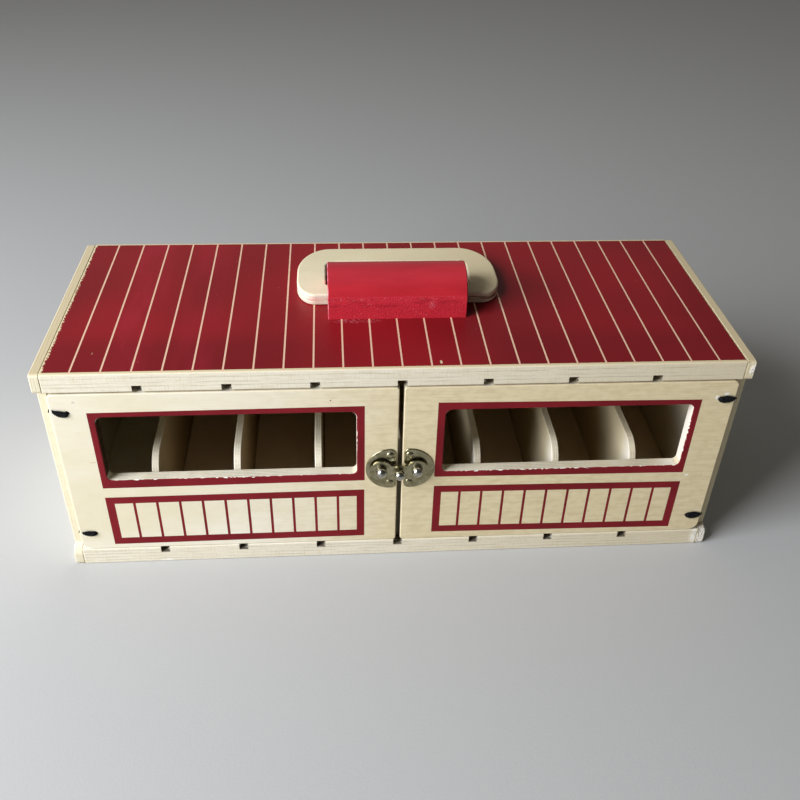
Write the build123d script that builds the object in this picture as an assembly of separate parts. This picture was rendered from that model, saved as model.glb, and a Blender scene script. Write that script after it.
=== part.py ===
from build123d import *
import os
from math import cos, hypot, radians, sin, sqrt

# Toy stable box with eight stalls, two windowed doors on cord hinges, a swing clasp
# and a folding carry handle.  Millimetres.  +X right, -Y front, +Z up.
# Origin: centre of the base panel's underside.

# ---------------------------------------------------------------- carcass
BOX_LENGTH = 394.0          # over both end walls
BOX_DEPTH = 152.6           # front face of roof and base to back face
BOX_HEIGHT = 140.0
PANEL_T = 12.0              # roof and base plywood
WALL_T = 5.0                # end walls, three-ply
BACK_T = 5.0
JOINT_GAP = 0.2             # glue line between panel ends and end walls
PANEL_EDGE_R = 0.9          # eased long edges of roof and base
WALL_EDGE_R = 0.8

# end walls: set back behind the doors between a top and a bottom lobe
WALL_SETBACK = 6.45
LOW_LOBE_OVER = 0.3         # lower lobe's height over the base's thickness
HIGH_LOBE_OVER = 0.7        # upper lobe's height over the roof's thickness
LOW_LOBE_INNER_R = 5.5      # lobe corners that face the door
HIGH_LOBE_INNER_R = 2.5
LOBE_OUTER_R = 2.0
SETBACK_CORNER_R = 0.8
WALL_BACK_R = 2.0

# ---------------------------------------------------------------- stalls
STALL_COUNT = 8
END_STALL_W = 47.85         # clear width of the two end stalls; the rest share what is left
DIVIDER_T = 4.2
GROOVE_DEPTH = 4.0
GROOVE_CLEAR = 0.5          # each side of a divider in its groove
DIVIDER_TOP_CLEAR = 0.2
DIVIDER_BACK_CLEAR = 0.1
DIVIDER_DOOR_CLEAR = 1.15   # divider's front edge behind the closed door
LOW_FRONT_H = 62.0          # divider's low front above the floor
LOW_FRONT_LEN = 39.0        # from the front edge to the start of the rise
LOW_FRONT_R = 15.0
RISE_R = 27.0
DIVIDER_EDGE_R = 0.5

# ---------------------------------------------------------------- doors
DOOR_T = 7.0
DOOR_GAP = 2.8              # between the two doors
DOOR_SIDE_CLEAR = 1.7       # to the end wall, room for the cord hinge
DOOR_TOP_CLEAR = 1.0
DOOR_BOTTOM_CLEAR = 0.5
DOOR_TOP_R = 3.0
DOOR_BOTTOM_R = 6.0
DOOR_CENTRE_R = 1.5
DOOR_EDGE_R = 0.6
WINDOW_INNER_BAR = 23.6     # door's width left beside the window, at the box's middle
WINDOW_OUTER_BAR = 22.8     # and at the hinge side
WINDOW_TOP_BAR = 15.6
WINDOW_SILL_H = 53.9        # above the door's lower edge
WINDOW_TOP_R = 4.0
WINDOW_BOTTOM_R = 2.8
HINGE_FROM_FRONT = 3.1      # hinge line behind the door's face

# ---------------------------------------------------------------- cord hinges
CORD_T = 1.3                # flattened cord where it lies on the door
CORD_W = 4.2
CORD_ROUND_R = 1.15         # same cord where it goes through a hole
CORD_HOLE_CLEAR = 0.15
CORD_LIE_CLEAR = 0.05
CORD_BEND_R = 1.2
CORD_END_R = 1.9            # rounded ends of the flat stretch, where it dives into a hole
CORD_HOLE_IN = 9.2          # door hole from the door's outer edge
CORD_WALL_HOLE_BACK = 5.7   # wall hole behind the wall's set-back edge
CORD_TOP_DROP = 12.0        # upper cord below the door's top edge
CORD_BOTTOM_RISE = 13.0     # lower cord above the door's bottom edge
KNOT_R = 3.0
KNOT_T = 3.4
KNOT_ROUND = 1.3
KNOT_SEAT_CLEAR = 0.4       # round the knot in its seat in the end wall
KNOT_SEAT_DEPTH = 2.0

# ---------------------------------------------------------------- swing clasp
CLASP_DROP = 70.0           # clasp plates' centre line below the roof's top
ARM_RISE = 1.1              # arm's centre line above the plates'
PLATE_T = 0.8
PLATE_W = 17.6
PLATE_H = 29.2
PLATE_FROM_CENTRE = 2.35    # plate's near side to the box's middle
PLATE_LOBE_R = 3.3
PLATE_BITE_R = 6.0
PLATE_BITE_HALF_H = 4.3     # bite's half height at the plate's near side
PLATE_EDGE_R = 0.25
NAIL_FROM_CENTRE = 5.7
NAIL_SPACING = 20.3
NAIL_R = 0.6
NAIL_LEN = 6.2
NAIL_HEAD_R = 2.6
NAIL_HEAD_H = 1.2
PIVOT_FROM_CENTRE = 10.9
POST_FROM_CENTRE = 10.0
RIVET_R = 1.2
STANDOFF = 1.5              # plate face to the back of the arm
STANDOFF_R = 2.4
ARM_T = 1.2
ARM_DISC_R = 6.7
ARM_WAIST = 6.4
HOOK_R = 6.6
HOOK_TIP_DROP = 3.2
HOOK_SLOT_SWEEP = 50.0      # degrees of arc cut for the neck to leave by
ARM_EDGE_R = 0.2
HEAD_R = 3.3
HEAD_SKIRT = 1.4            # straight side under the head's round
NECK_R = 1.7
NECK_CLEAR = 0.25
RUN_CLEAR = 0.05            # running fit of the arm on its rivet
FACE_CLEAR = 0.1            # running gap beside the arm's faces
KNOB_R = 3.1
KNOB_NECK_R = 1.1
KNOB_GAP = 0.3              # ball to the arm's face
KNOB_X = -0.4
KNOB_DROP = 0.8             # ball below the clasp's centre line

# ---------------------------------------------------------------- carry handle
HANDLE_FORWARD = 6.65       # handle's hinge line in front of the box's middle
BRACKET_X = 0.7
BRACKET_L = 81.0
BRACKET_R = 17.5            # half-round top
BRACKET_SIDE_H = 8.5        # straight side below the half-round
BRACKET_END_R = 0.6
RING_T = 7.2
RING_LIFT = 0.2             # ring's underside above the roof at rest
RING_NOSE = 1.2             # ring's front edge in front of its hinge line
RING_BACK_RX = 21.0
RING_BACK_RY = 30.0
RING_FRONT_RX = 11.0
RING_FRONT_RY = 18.0
RING_EDGE_R = 1.1
FRONT_BAR = 12.0
BACK_BAR = 18.2
SIDE_BAR = 17.5
HOLE_LEFT_CLEAR = 1.0       # bracket's left end to the ring's hole
HOLE_RIGHT_CLEAR = 5.8
FINGER_GAP = 23.0           # bracket's back to the ring's back bar
HOLE_FRONT_R = 1.8
HOLE_BACK_R = 6.0
SLOT_CLEAR = 0.27           # round the sweep of the ring's front bar

# ---------------------------------------------------------------- fasteners
SCREW_R = 1.5
SCREW_HEAD_R = 2.8
SCREW_HEAD_H = 1.6
SCREW_LEN = 21.0
SCREW_SPACING = 48.0
SCREW_FREE = 0.1            # clearance hole in the roof
FASTENER_FIT = 0.03         # round a nail or screw in wood
WALL_NAIL_R = 0.7
WALL_NAIL_LEN = 20.0
WALL_NAIL_HEAD_R = 1.3
WALL_NAIL_HEAD_H = 0.6
WALL_NAIL_SPACING = 60.0
BACK_NAIL_HEIGHTS = (40.0, 100.0)

# ---------------------------------------------------------------- modelling
PAST = 1.0                  # how far a cutter runs past the face it opens
NEAR = 0.1                  # tolerance when edges are picked by their place

# ---------------------------------------------------------------- derived
FRONT = -BOX_DEPTH / 2
BACK = BOX_DEPTH / 2
WALL_IN = BOX_LENGTH / 2 - WALL_T
WALL_OUT = BOX_LENGTH / 2
PANEL_L = 2 * (WALL_IN - JOINT_GAP)
FLOOR = PANEL_T
CEILING = BOX_HEIGHT - PANEL_T
WALL_FRONT = FRONT + WALL_SETBACK
LOW_LOBE_TOP = PANEL_T + LOW_LOBE_OVER
HIGH_LOBE_BOTTOM = CEILING - HIGH_LOBE_OVER
DIVIDER_PITCH = (WALL_IN - END_STALL_W - DIVIDER_T / 2) / (STALL_COUNT // 2 - 1)
GROOVE_W = DIVIDER_T + 2 * GROOVE_CLEAR

DOOR_IN = DOOR_GAP / 2
DOOR_OUT = WALL_IN - DOOR_SIDE_CLEAR
DOOR_LOW = FLOOR + DOOR_BOTTOM_CLEAR
DOOR_HIGH = CEILING - DOOR_TOP_CLEAR
DOOR_BACK = FRONT + DOOR_T
WINDOW_LEFT = DOOR_IN + WINDOW_INNER_BAR
WINDOW_W = DOOR_OUT - WINDOW_OUTER_BAR - WINDOW_LEFT
WINDOW_LOW = DOOR_LOW + WINDOW_SILL_H
WINDOW_H = DOOR_HIGH - WINDOW_TOP_BAR - WINDOW_LOW
HINGE_X = DOOR_OUT + DOOR_SIDE_CLEAR / 2
HINGE_Y = FRONT + HINGE_FROM_FRONT

DIVIDER_FRONT = DOOR_BACK + DIVIDER_DOOR_CLEAR
BACK_FACE = BACK - BACK_T

CORD_X = DOOR_OUT - CORD_HOLE_IN
CORD_LANE_X = DOOR_OUT + DOOR_SIDE_CLEAR / 2
CORD_FACE_Y = FRONT - CORD_LIE_CLEAR - CORD_T / 2
CORD_WALL_Y = WALL_FRONT + CORD_WALL_HOLE_BACK
CORD_HEIGHTS = {"top": DOOR_HIGH - CORD_TOP_DROP, "bottom": DOOR_LOW + CORD_BOTTOM_RISE}
CORD_HOLE_R = CORD_ROUND_R + CORD_HOLE_CLEAR

CLASP_Z = BOX_HEIGHT - CLASP_DROP
ARM_Z = CLASP_Z + ARM_RISE
PLATE_FRONT = FRONT - PLATE_T
ARM_BACK = PLATE_FRONT - STANDOFF
ARM_FRONT = ARM_BACK - ARM_T
HEAD_BACK = ARM_FRONT - FACE_CLEAR

HANDLE_Y = -HANDLE_FORWARD
HANDLE_Z = BOX_HEIGHT + RING_LIFT + RING_T / 2
BAR_REACH = hypot(FRONT_BAR - RING_NOSE, RING_T / 2)
SLOT_HALF_W = BAR_REACH + SLOT_CLEAR
SLOT_H = HANDLE_Z - BOX_HEIGHT + BAR_REACH + SLOT_CLEAR
LEG_T = BRACKET_R - SLOT_HALF_W
HOLE_L = BRACKET_L + HOLE_LEFT_CLEAR + HOLE_RIGHT_CLEAR
HOLE_W = BRACKET_R + FINGER_GAP + RING_NOSE - FRONT_BAR
RING_X = BRACKET_X + (HOLE_RIGHT_CLEAR - HOLE_LEFT_CLEAR) / 2
RING_L = HOLE_L + 2 * SIDE_BAR
RING_W = FRONT_BAR + HOLE_W + BACK_BAR


# ---------------------------------------------------------------- helpers
def place(sketch, x=0.0, y=0.0):
    """A sketch moved within its own plane."""
    return Pos(x, y) * sketch


def from_front(sketch, back_y, thickness):
    """Extrude an X-Z outline towards the front from the plane y = back_y."""
    return extrude(Plane.XZ.offset(-back_y) * sketch, amount=thickness)


def across(sketch, left_x, width):
    """Extrude a Y-Z outline along +X from the plane x = left_x."""
    return extrude(Plane.YZ.offset(left_x) * sketch, amount=width)


def rod_y(radius, x, z, y_from, y_to):
    """Round bar along Y between two planes."""
    length = abs(y_to - y_from)
    bar = Cylinder(radius, length, rotation=(90, 0, 0))
    return Pos(x, (y_from + y_to) / 2, z) * bar


def rod_x(radius, x_from, x_to, y, z):
    """Round bar along X between two planes."""
    length = abs(x_to - x_from)
    bar = Cylinder(radius, length, rotation=(0, 90, 0))
    return Pos((x_from + x_to) / 2, y, z) * bar


def dome(radius, height, x, z, base_y):
    """Rounded head: a cap of a sphere standing towards the front on the plane base_y."""
    ball_r = (radius**2 + height**2) / (2 * height)
    ball = Pos(x, base_y + ball_r - height, z) * Sphere(ball_r)
    room = Pos(x, base_y - height, z) * Box(4 * radius, 2 * height, 4 * radius)
    return ball & room


def eased(solid, faces, radius):
    """Round every edge of the given faces."""
    edges = ShapeList()
    for face in faces:
        edges += face.edges()
    return fillet(edges, radius)


def to_left(shape):
    """Mirror image of a right-hand piece."""
    return mirror(shape, about=Plane.YZ)


def write(name, shape):
    export_step(shape, os.path.join("parts", name + ".step"))


# ---------------------------------------------------------------- carcass pieces
def divider_places():
    middle = STALL_COUNT // 2
    return [(k - middle) * DIVIDER_PITCH for k in range(1, STALL_COUNT)]


def wall_nail_places():
    """(y, z) of the nails through an end wall into base, roof and back panel."""
    rows = [FLOOR / 2, BOX_HEIGHT - PANEL_T / 2]
    places = [(i * WALL_NAIL_SPACING, z) for z in rows for i in (-1, 0, 1)]
    return places + [(BACK - BACK_T / 2, z) for z in BACK_NAIL_HEIGHTS]


def wall_nail(y, z):
    """One flush-headed nail through the right end wall."""
    head_out = WALL_OUT - FASTENER_FIT
    shank = rod_x(WALL_NAIL_R, head_out - WALL_NAIL_LEN, head_out, y, z)
    return shank + rod_x(WALL_NAIL_HEAD_R, head_out - WALL_NAIL_HEAD_H, head_out, y, z)


def wall_nail_hole(y, z):
    """Hole of the right end wall's nail, through the wall and into the panel behind it."""
    deep = WALL_OUT - WALL_NAIL_LEN - 2 * FASTENER_FIT
    hole = rod_x(WALL_NAIL_R + FASTENER_FIT, deep, WALL_OUT + PAST, y, z)
    seat_in = WALL_OUT - WALL_NAIL_HEAD_H - 2 * FASTENER_FIT
    return hole + rod_x(WALL_NAIL_HEAD_R + FASTENER_FIT, seat_in, WALL_OUT + PAST, y, z)


def both_end_holes(shape, wanted):
    """Cut the nail holes picked by wanted(y, z) at both ends of a panel."""
    for y, z in wall_nail_places():
        if wanted(y, z):
            hole = wall_nail_hole(y, z)
            shape = shape - hole - to_left(hole)
    return shape


def grooved_panel(low_z, groove_low):
    """Roof or base: an eased board with a groove for each divider, open at front and back."""
    board = Box(PANEL_L, BOX_DEPTH, PANEL_T)
    board = fillet(board.edges(), PANEL_EDGE_R)
    board = Pos(0, 0, low_z + PANEL_T / 2) * board
    groove = Box(GROOVE_W, BOX_DEPTH + 2 * PAST, GROOVE_DEPTH)
    for x in divider_places():
        board -= Pos(x, 0, groove_low + GROOVE_DEPTH / 2) * groove
    return board


def base_panel():
    board = grooved_panel(0, FLOOR - GROOVE_DEPTH)
    return both_end_holes(board, lambda y, z: z < FLOOR)


def screw_places():
    """(x, y) of the screws that hold the handle's bracket, two in each leg."""
    leg = BRACKET_R - LEG_T / 2
    xs = [BRACKET_X - SCREW_SPACING / 2, BRACKET_X + SCREW_SPACING / 2]
    return [(x, HANDLE_Y + side * leg) for x in xs for side in (-1, 1)]


def bracket_screw(x, y, grow=0.0):
    """Countersunk screw standing up from the ceiling; grow widens it into its hole."""
    low = CEILING + (0 if grow else FASTENER_FIT)
    head = Cone(SCREW_HEAD_R + grow, SCREW_R + grow, SCREW_HEAD_H)
    shank = Cylinder(SCREW_R + grow, SCREW_LEN + grow)
    middle = Pos(x, y, low + SCREW_HEAD_H / 2)
    return middle * head + Pos(x, y, low + (SCREW_LEN + grow) / 2) * shank


def roof_panel():
    board = grooved_panel(CEILING, CEILING)
    board = both_end_holes(board, lambda y, z: z > CEILING)
    for x, y in screw_places():
        board -= bracket_screw(x, y, SCREW_FREE)
    return board


def back_panel():
    height = CEILING - FLOOR
    board = Box(PANEL_L, BACK_T, height)
    board = Pos(0, BACK - BACK_T / 2, FLOOR + height / 2) * board
    return both_end_holes(board, lambda y, z: FLOOR < z < CEILING)


def end_wall():
    """Right end wall: a lobe at roof and base level, set back between them."""
    points = [
        (FRONT, 0), (BACK, 0), (BACK, BOX_HEIGHT), (FRONT, BOX_HEIGHT),
        (FRONT, HIGH_LOBE_BOTTOM), (WALL_FRONT, HIGH_LOBE_BOTTOM),
        (WALL_FRONT, LOW_LOBE_TOP), (FRONT, LOW_LOBE_TOP),
    ]
    outline = make_face(Polyline(*points, close=True))
    radii = {
        (FRONT, 0): LOBE_OUTER_R, (FRONT, BOX_HEIGHT): LOBE_OUTER_R,
        (FRONT, LOW_LOBE_TOP): LOW_LOBE_INNER_R, (FRONT, HIGH_LOBE_BOTTOM): HIGH_LOBE_INNER_R,
        (WALL_FRONT, LOW_LOBE_TOP): SETBACK_CORNER_R,
        (WALL_FRONT, HIGH_LOBE_BOTTOM): SETBACK_CORNER_R,
        (BACK, 0): WALL_BACK_R, (BACK, BOX_HEIGHT): WALL_BACK_R,
    }
    for (y, z), radius in radii.items():
        corner = outline.vertices().sort_by_distance((y, z, 0))[0]
        outline = fillet(corner, radius)
    wall = across(outline, WALL_IN, WALL_T)
    wall = eased(wall, [wall.faces().sort_by(Axis.X)[-1]], WALL_EDGE_R)
    for y, z in wall_nail_places():
        wall -= wall_nail_hole(y, z)
    for z in CORD_HEIGHTS.values():
        wall -= rod_x(CORD_HOLE_R, WALL_IN - PAST, WALL_OUT + PAST, CORD_WALL_Y, z)
        seat_r = KNOT_R + KNOT_SEAT_CLEAR
        wall -= rod_x(seat_r, WALL_OUT - KNOT_SEAT_DEPTH, WALL_OUT + PAST, CORD_WALL_Y, z)
    return wall


def wall_nails():
    return Compound([wall_nail(y, z) for y, z in wall_nail_places()])


def divider():
    """Stall divider at the middle: low rounded front, then a curved rise to the ceiling groove."""
    low = FLOOR - GROOVE_DEPTH
    high = CEILING + GROOVE_DEPTH - DIVIDER_TOP_CLEAR
    low_top = FLOOR + LOW_FRONT_H
    rise_y = DIVIDER_FRONT + LOW_FRONT_LEN
    back = BACK_FACE - DIVIDER_BACK_CLEAR
    front_up = Line((DIVIDER_FRONT, low), (DIVIDER_FRONT, low_top - LOW_FRONT_R))
    nose = RadiusArc(front_up @ 1, (DIVIDER_FRONT + LOW_FRONT_R, low_top), LOW_FRONT_R)
    flat = Line(nose @ 1, (rise_y, low_top))
    rise = RadiusArc(flat @ 1, (rise_y + RISE_R, low_top + RISE_R), -RISE_R)
    rest = Polyline(rise @ 1, (rise_y + RISE_R, high), (back, high), (back, low), front_up @ 0)
    board = across(make_face([front_up, nose, flat, rise, rest]), -DIVIDER_T / 2, DIVIDER_T)
    rim = board.edges().filter_by(Plane.YZ).filter_by(
        lambda e: e.center().Y < rise_y + RISE_R + NEAR and low + NEAR < e.center().Z < high - NEAR
    )
    return fillet(rim, DIVIDER_EDGE_R)


# ---------------------------------------------------------------- doors
def clasp_nail_places(side):
    return [(side * NAIL_FROM_CENTRE, CLASP_Z + up * NAIL_SPACING / 2) for up in (-1, 1)]


def door():
    """Right door with its window, cord holes and clasp nail holes."""
    width = DOOR_OUT - DOOR_IN
    height = DOOR_HIGH - DOOR_LOW
    outline = place(Rectangle(width, height), DOOR_IN + width / 2, DOOR_LOW + height / 2)
    radii = {
        (DOOR_OUT, DOOR_HIGH): DOOR_TOP_R, (DOOR_OUT, DOOR_LOW): DOOR_BOTTOM_R,
        (DOOR_IN, DOOR_HIGH): DOOR_CENTRE_R, (DOOR_IN, DOOR_LOW): DOOR_CENTRE_R,
    }
    for (x, z), radius in radii.items():
        outline = fillet(outline.vertices().sort_by_distance((x, z, 0))[0], radius)
    window = Rectangle(WINDOW_W, WINDOW_H)
    window = fillet(window.vertices().sort_by(Axis.Y)[-2:], WINDOW_TOP_R)
    window = fillet(window.vertices().sort_by(Axis.Y)[:2], WINDOW_BOTTOM_R)
    outline -= place(window, WINDOW_LEFT + WINDOW_W / 2, WINDOW_LOW + WINDOW_H / 2)
    board = from_front(outline, DOOR_BACK, DOOR_T)
    faces = board.faces().sort_by(Axis.Y)
    board = eased(board, [faces[0], faces[-1]], DOOR_EDGE_R)
    for z in CORD_HEIGHTS.values():
        board -= rod_y(CORD_HOLE_R, CORD_X, z, FRONT - PAST, DOOR_BACK + PAST)
    for x, z in clasp_nail_places(1):
        nail_end = PLATE_FRONT + NAIL_LEN + FASTENER_FIT
        board -= rod_y(NAIL_R + FASTENER_FIT, x, z, FRONT - PAST, nail_end)
    return board


def hinge_cord(z):
    """Right-hand hinge cord: knotted behind the door, out through it, flat over its face and
    round its edge, back along the end wall and out through that to a second knot."""
    lane_end = CORD_WALL_Y + CORD_ROUND_R
    path = FilletPolyline(
        (CORD_X - CORD_ROUND_R, CORD_FACE_Y), (CORD_LANE_X, CORD_FACE_Y), (CORD_LANE_X, lane_end),
        radius=CORD_BEND_R,
    )
    strap = extrude(trace(path, CORD_T), amount=CORD_W / 2, both=True)
    end_edges = ShapeList()
    end_edges += strap.faces().sort_by(Axis.X)[0].edges().filter_by(Axis.Y)
    end_edges += strap.faces().sort_by(Axis.Y)[-1].edges().filter_by(Axis.X)
    strap = fillet(end_edges, CORD_END_R)
    through_door = rod_y(CORD_ROUND_R, CORD_X, 0, CORD_FACE_Y, DOOR_BACK + KNOT_T)
    through_wall = rod_x(CORD_ROUND_R, CORD_LANE_X, WALL_OUT - KNOT_SEAT_DEPTH + KNOT_T, CORD_WALL_Y, 0)
    door_knot = rod_y(KNOT_R, CORD_X, 0, DOOR_BACK + CORD_LIE_CLEAR, DOOR_BACK + KNOT_T)
    seat = WALL_OUT - KNOT_SEAT_DEPTH + CORD_LIE_CLEAR
    wall_knot = rod_x(KNOT_R, seat, seat + KNOT_T - CORD_LIE_CLEAR, CORD_WALL_Y, 0)
    door_knot = fillet(door_knot.edges().filter_by(GeomType.CIRCLE), KNOT_ROUND)
    wall_knot = fillet(wall_knot.edges().filter_by(GeomType.CIRCLE), KNOT_ROUND)
    return Pos(0, 0, z) * (strap + through_door + through_wall + door_knot + wall_knot)


# ---------------------------------------------------------------- swing clasp
def clasp_plate_outline():
    """Right-hand half-moon plate about the clasp's centre line, with a lobe at each nail."""
    near = PLATE_FROM_CENTRE
    far = PLATE_FROM_CENTRE + PLATE_W
    lobe_x = near + PLATE_LOBE_R
    moon = place(Ellipse(far - lobe_x, PLATE_H / 2), lobe_x)
    moon &= place(Rectangle(far - near, PLATE_H), lobe_x + (far - near) / 2)
    lobe_z = PLATE_H / 2 - PLATE_LOBE_R
    for up in (-1, 1):
        moon += place(Circle(PLATE_LOBE_R), lobe_x, up * lobe_z)
    infill = Rectangle(PLATE_LOBE_R, 2 * lobe_z)
    moon += place(infill, lobe_x - PLATE_LOBE_R / 2, 0)
    bite_x = near - sqrt(PLATE_BITE_R**2 - PLATE_BITE_HALF_H**2)
    return moon - place(Circle(PLATE_BITE_R), bite_x, 0)


def clasp_plate(side, rivet_x):
    """Half-moon plate on the door's face; side is 1 on the right door and -1 on the left."""
    outline = clasp_plate_outline()
    if side < 0:
        outline = mirror(outline, about=Plane.YZ)
    plate = from_front(place(outline, 0, CLASP_Z), FRONT, PLATE_T)
    plate = fillet(plate.faces().sort_by(Axis.Y)[0].edges(), PLATE_EDGE_R)
    for x, z in clasp_nail_places(side):
        plate -= rod_y(NAIL_R + FASTENER_FIT, x, z, FRONT + PAST, PLATE_FRONT - PAST)
    return plate - rod_y(RIVET_R + FASTENER_FIT, rivet_x, ARM_Z, FRONT + PAST, PLATE_FRONT - PAST)


def clasp_nails(side):
    nails = []
    for x, z in clasp_nail_places(side):
        shank = rod_y(NAIL_R, x, z, PLATE_FRONT, PLATE_FRONT + NAIL_LEN)
        nails.append(shank + dome(NAIL_HEAD_R, NAIL_HEAD_H, x, z, PLATE_FRONT))
    return Compound(nails)


def round_head(x):
    """High round head in front of the arm: a short straight skirt, then half a ball."""
    round_y = HEAD_BACK - HEAD_SKIRT
    return rod_y(HEAD_R, x, ARM_Z, HEAD_BACK, round_y) + dome(HEAD_R, HEAD_R, x, ARM_Z, round_y)


def clasp_pivot():
    """Rivet in the left plate that the arm turns on, with a shoulder behind the arm."""
    x = -PIVOT_FROM_CENTRE
    shank = rod_y(RIVET_R, x, ARM_Z, FRONT, HEAD_BACK)
    shoulder = rod_y(STANDOFF_R, x, ARM_Z, PLATE_FRONT, ARM_BACK + FACE_CLEAR)
    return shank + shoulder + round_head(x)


def catch_post():
    """Headed post in the right plate that the arm's hook drops over."""
    x = POST_FROM_CENTRE
    shank = rod_y(RIVET_R, x, ARM_Z, FRONT, PLATE_FRONT)
    neck = rod_y(NECK_R, x, ARM_Z, PLATE_FRONT, HEAD_BACK)
    return shank + neck + round_head(x)


def clasp_arm():
    """Swing arm: a disc on the rivet, a waist, and a hook whose slot is an arc about the
    rivet, so the neck leaves it cleanly as the arm swings up."""
    reach = PIVOT_FROM_CENTRE + POST_FROM_CENTRE
    slot_half = NECK_R + NECK_CLEAR
    arm = Circle(ARM_DISC_R)
    arm += place(Rectangle(reach, ARM_WAIST), reach / 2)
    arm += place(Circle(HOOK_R), reach)
    arc = Circle(reach + slot_half) - Circle(reach - slot_half)
    far = reach + slot_half + PAST
    sector_points = [
        (0, 0), (far, 0), (far, -far * sin(radians(HOOK_SLOT_SWEEP))),
        (far * cos(radians(HOOK_SLOT_SWEEP)), -far * sin(radians(HOOK_SLOT_SWEEP))),
    ]
    arc &= make_face(Polyline(*sector_points, close=True))
    arm -= arc
    arm -= place(Circle(slot_half), reach)
    tip_low = HOOK_R
    tip_cut = Rectangle(2 * HOOK_R, tip_low)
    arm -= place(tip_cut, reach + HOOK_R, -HOOK_TIP_DROP - tip_low / 2)
    arm -= Circle(RIVET_R + RUN_CLEAR)
    knob_x = KNOB_X + PIVOT_FROM_CENTRE
    arm -= place(Circle(KNOB_NECK_R + FASTENER_FIT), knob_x, -KNOB_DROP)
    arm = place(arm, -PIVOT_FROM_CENTRE, ARM_Z)
    solid = from_front(arm, ARM_BACK, ARM_T)
    outer = solid.faces().sort_by(Axis.Y)[0].outer_wire().edges()
    return fillet(outer, ARM_EDGE_R)


def clasp_knob():
    """Ball knob riveted through the arm."""
    z = ARM_Z - KNOB_DROP
    ball_y = ARM_FRONT - KNOB_GAP - KNOB_R
    neck = rod_y(KNOB_NECK_R, KNOB_X, z, ARM_BACK, ball_y)
    return Pos(KNOB_X, ball_y, z) * Sphere(KNOB_R) + neck


# ---------------------------------------------------------------- carry handle
def handle_bracket():
    """Half-round topped block on the roof, slotted below for the ring's front bar."""
    side_h = BRACKET_SIDE_H
    left_up = Line((-BRACKET_R, 0), (-BRACKET_R, side_h))
    top = RadiusArc(left_up @ 1, (BRACKET_R, side_h), BRACKET_R)
    rest = Polyline(top @ 1, (BRACKET_R, 0), left_up @ 0)
    section = make_face([left_up, top, rest])
    block = across(place(section, HANDLE_Y, BOX_HEIGHT), BRACKET_X - BRACKET_L / 2, BRACKET_L)
    ends = block.faces().sort_by(Axis.X)
    rim = ends[0].edges() + ends[-1].edges()
    rim = ShapeList(edge for edge in rim if edge.center().Z > BOX_HEIGHT + NEAR)
    block = fillet(rim, BRACKET_END_R)
    slot = Box(BRACKET_L + 2 * PAST, 2 * SLOT_HALF_W, SLOT_H)
    block -= Pos(BRACKET_X, HANDLE_Y, BOX_HEIGHT + SLOT_H / 2) * slot
    for x, y in screw_places():
        block -= bracket_screw(x, y, FASTENER_FIT)
    return block


def bracket_screws():
    return Compound([bracket_screw(x, y) for x, y in screw_places()])


def quarter(centre_x, centre_y, rx, ry, start):
    """Quarter of an ellipse, counter-clockwise from the given angle."""
    return EllipticalCenterArc((centre_x, centre_y), rx, ry, start, arc_size=90)


def handle_ring():
    """Flat plywood ring, lying back on the roof; its front bar turns in the bracket."""
    half = RING_L / 2
    front = -RING_NOSE
    back = front + RING_W
    front_right = quarter(half - RING_FRONT_RX, front + RING_FRONT_RY, RING_FRONT_RX, RING_FRONT_RY, 270)
    back_right = quarter(half - RING_BACK_RX, back - RING_BACK_RY, RING_BACK_RX, RING_BACK_RY, 0)
    back_left = quarter(RING_BACK_RX - half, back - RING_BACK_RY, RING_BACK_RX, RING_BACK_RY, 90)
    front_left = quarter(RING_FRONT_RX - half, front + RING_FRONT_RY, RING_FRONT_RX, RING_FRONT_RY, 180)
    outline = make_face([
        front_right, Line(front_right @ 1, back_right @ 0),
        back_right, Line(back_right @ 1, back_left @ 0),
        back_left, Line(back_left @ 1, front_left @ 0),
        front_left, Line(front_left @ 1, front_right @ 0),
    ])
    hole = Rectangle(HOLE_L, HOLE_W)
    corners = hole.vertices().sort_by(Axis.Y)
    hole = fillet(corners[:2], HOLE_FRONT_R)
    hole = fillet(hole.vertices().sort_by(Axis.Y)[-2:], HOLE_BACK_R)
    outline -= place(hole, 0, front + FRONT_BAR + HOLE_W / 2)
    ring = extrude(outline, amount=RING_T)
    faces = ring.faces().sort_by(Axis.Z)
    ring = eased(ring, [faces[0], faces[-1]], RING_EDGE_R)
    return Pos(RING_X, HANDLE_Y, BOX_HEIGHT + RING_LIFT) * ring


# ---------------------------------------------------------------- write every node
def main():
    os.makedirs("parts", exist_ok=True)
    write("roof_panel", roof_panel())
    write("base_panel", base_panel())
    write("back_panel", back_panel())
    wall = end_wall()
    write("end_wall_right", wall)
    write("end_wall_left", to_left(wall))
    nails = wall_nails()
    write("wall_nails_right", nails)
    write("wall_nails_left", to_left(nails))
    one_divider = divider()
    for number, x in enumerate(divider_places(), start=1):
        write(f"stall_divider_{number}", Pos(x, 0, 0) * one_divider)

    one_door = door()
    write("door_right", one_door)
    write("door_left", to_left(one_door))
    for level, z in CORD_HEIGHTS.items():
        cord = hinge_cord(z)
        write(f"hinge_cord_right_{level}", cord)
        write(f"hinge_cord_left_{level}", to_left(cord))

    write("clasp_plate_left", clasp_plate(-1, -PIVOT_FROM_CENTRE))
    write("clasp_plate_right", clasp_plate(1, POST_FROM_CENTRE))
    write("clasp_nails_left", clasp_nails(-1))
    write("clasp_nails_right", clasp_nails(1))
    write("clasp_pivot", clasp_pivot())
    write("catch_post", catch_post())
    write("clasp_arm", clasp_arm())
    write("clasp_knob", clasp_knob())

    write("handle_bracket", handle_bracket())
    write("bracket_screws", bracket_screws())
    write("handle_ring", handle_ring())


main()
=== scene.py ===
import math

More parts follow.
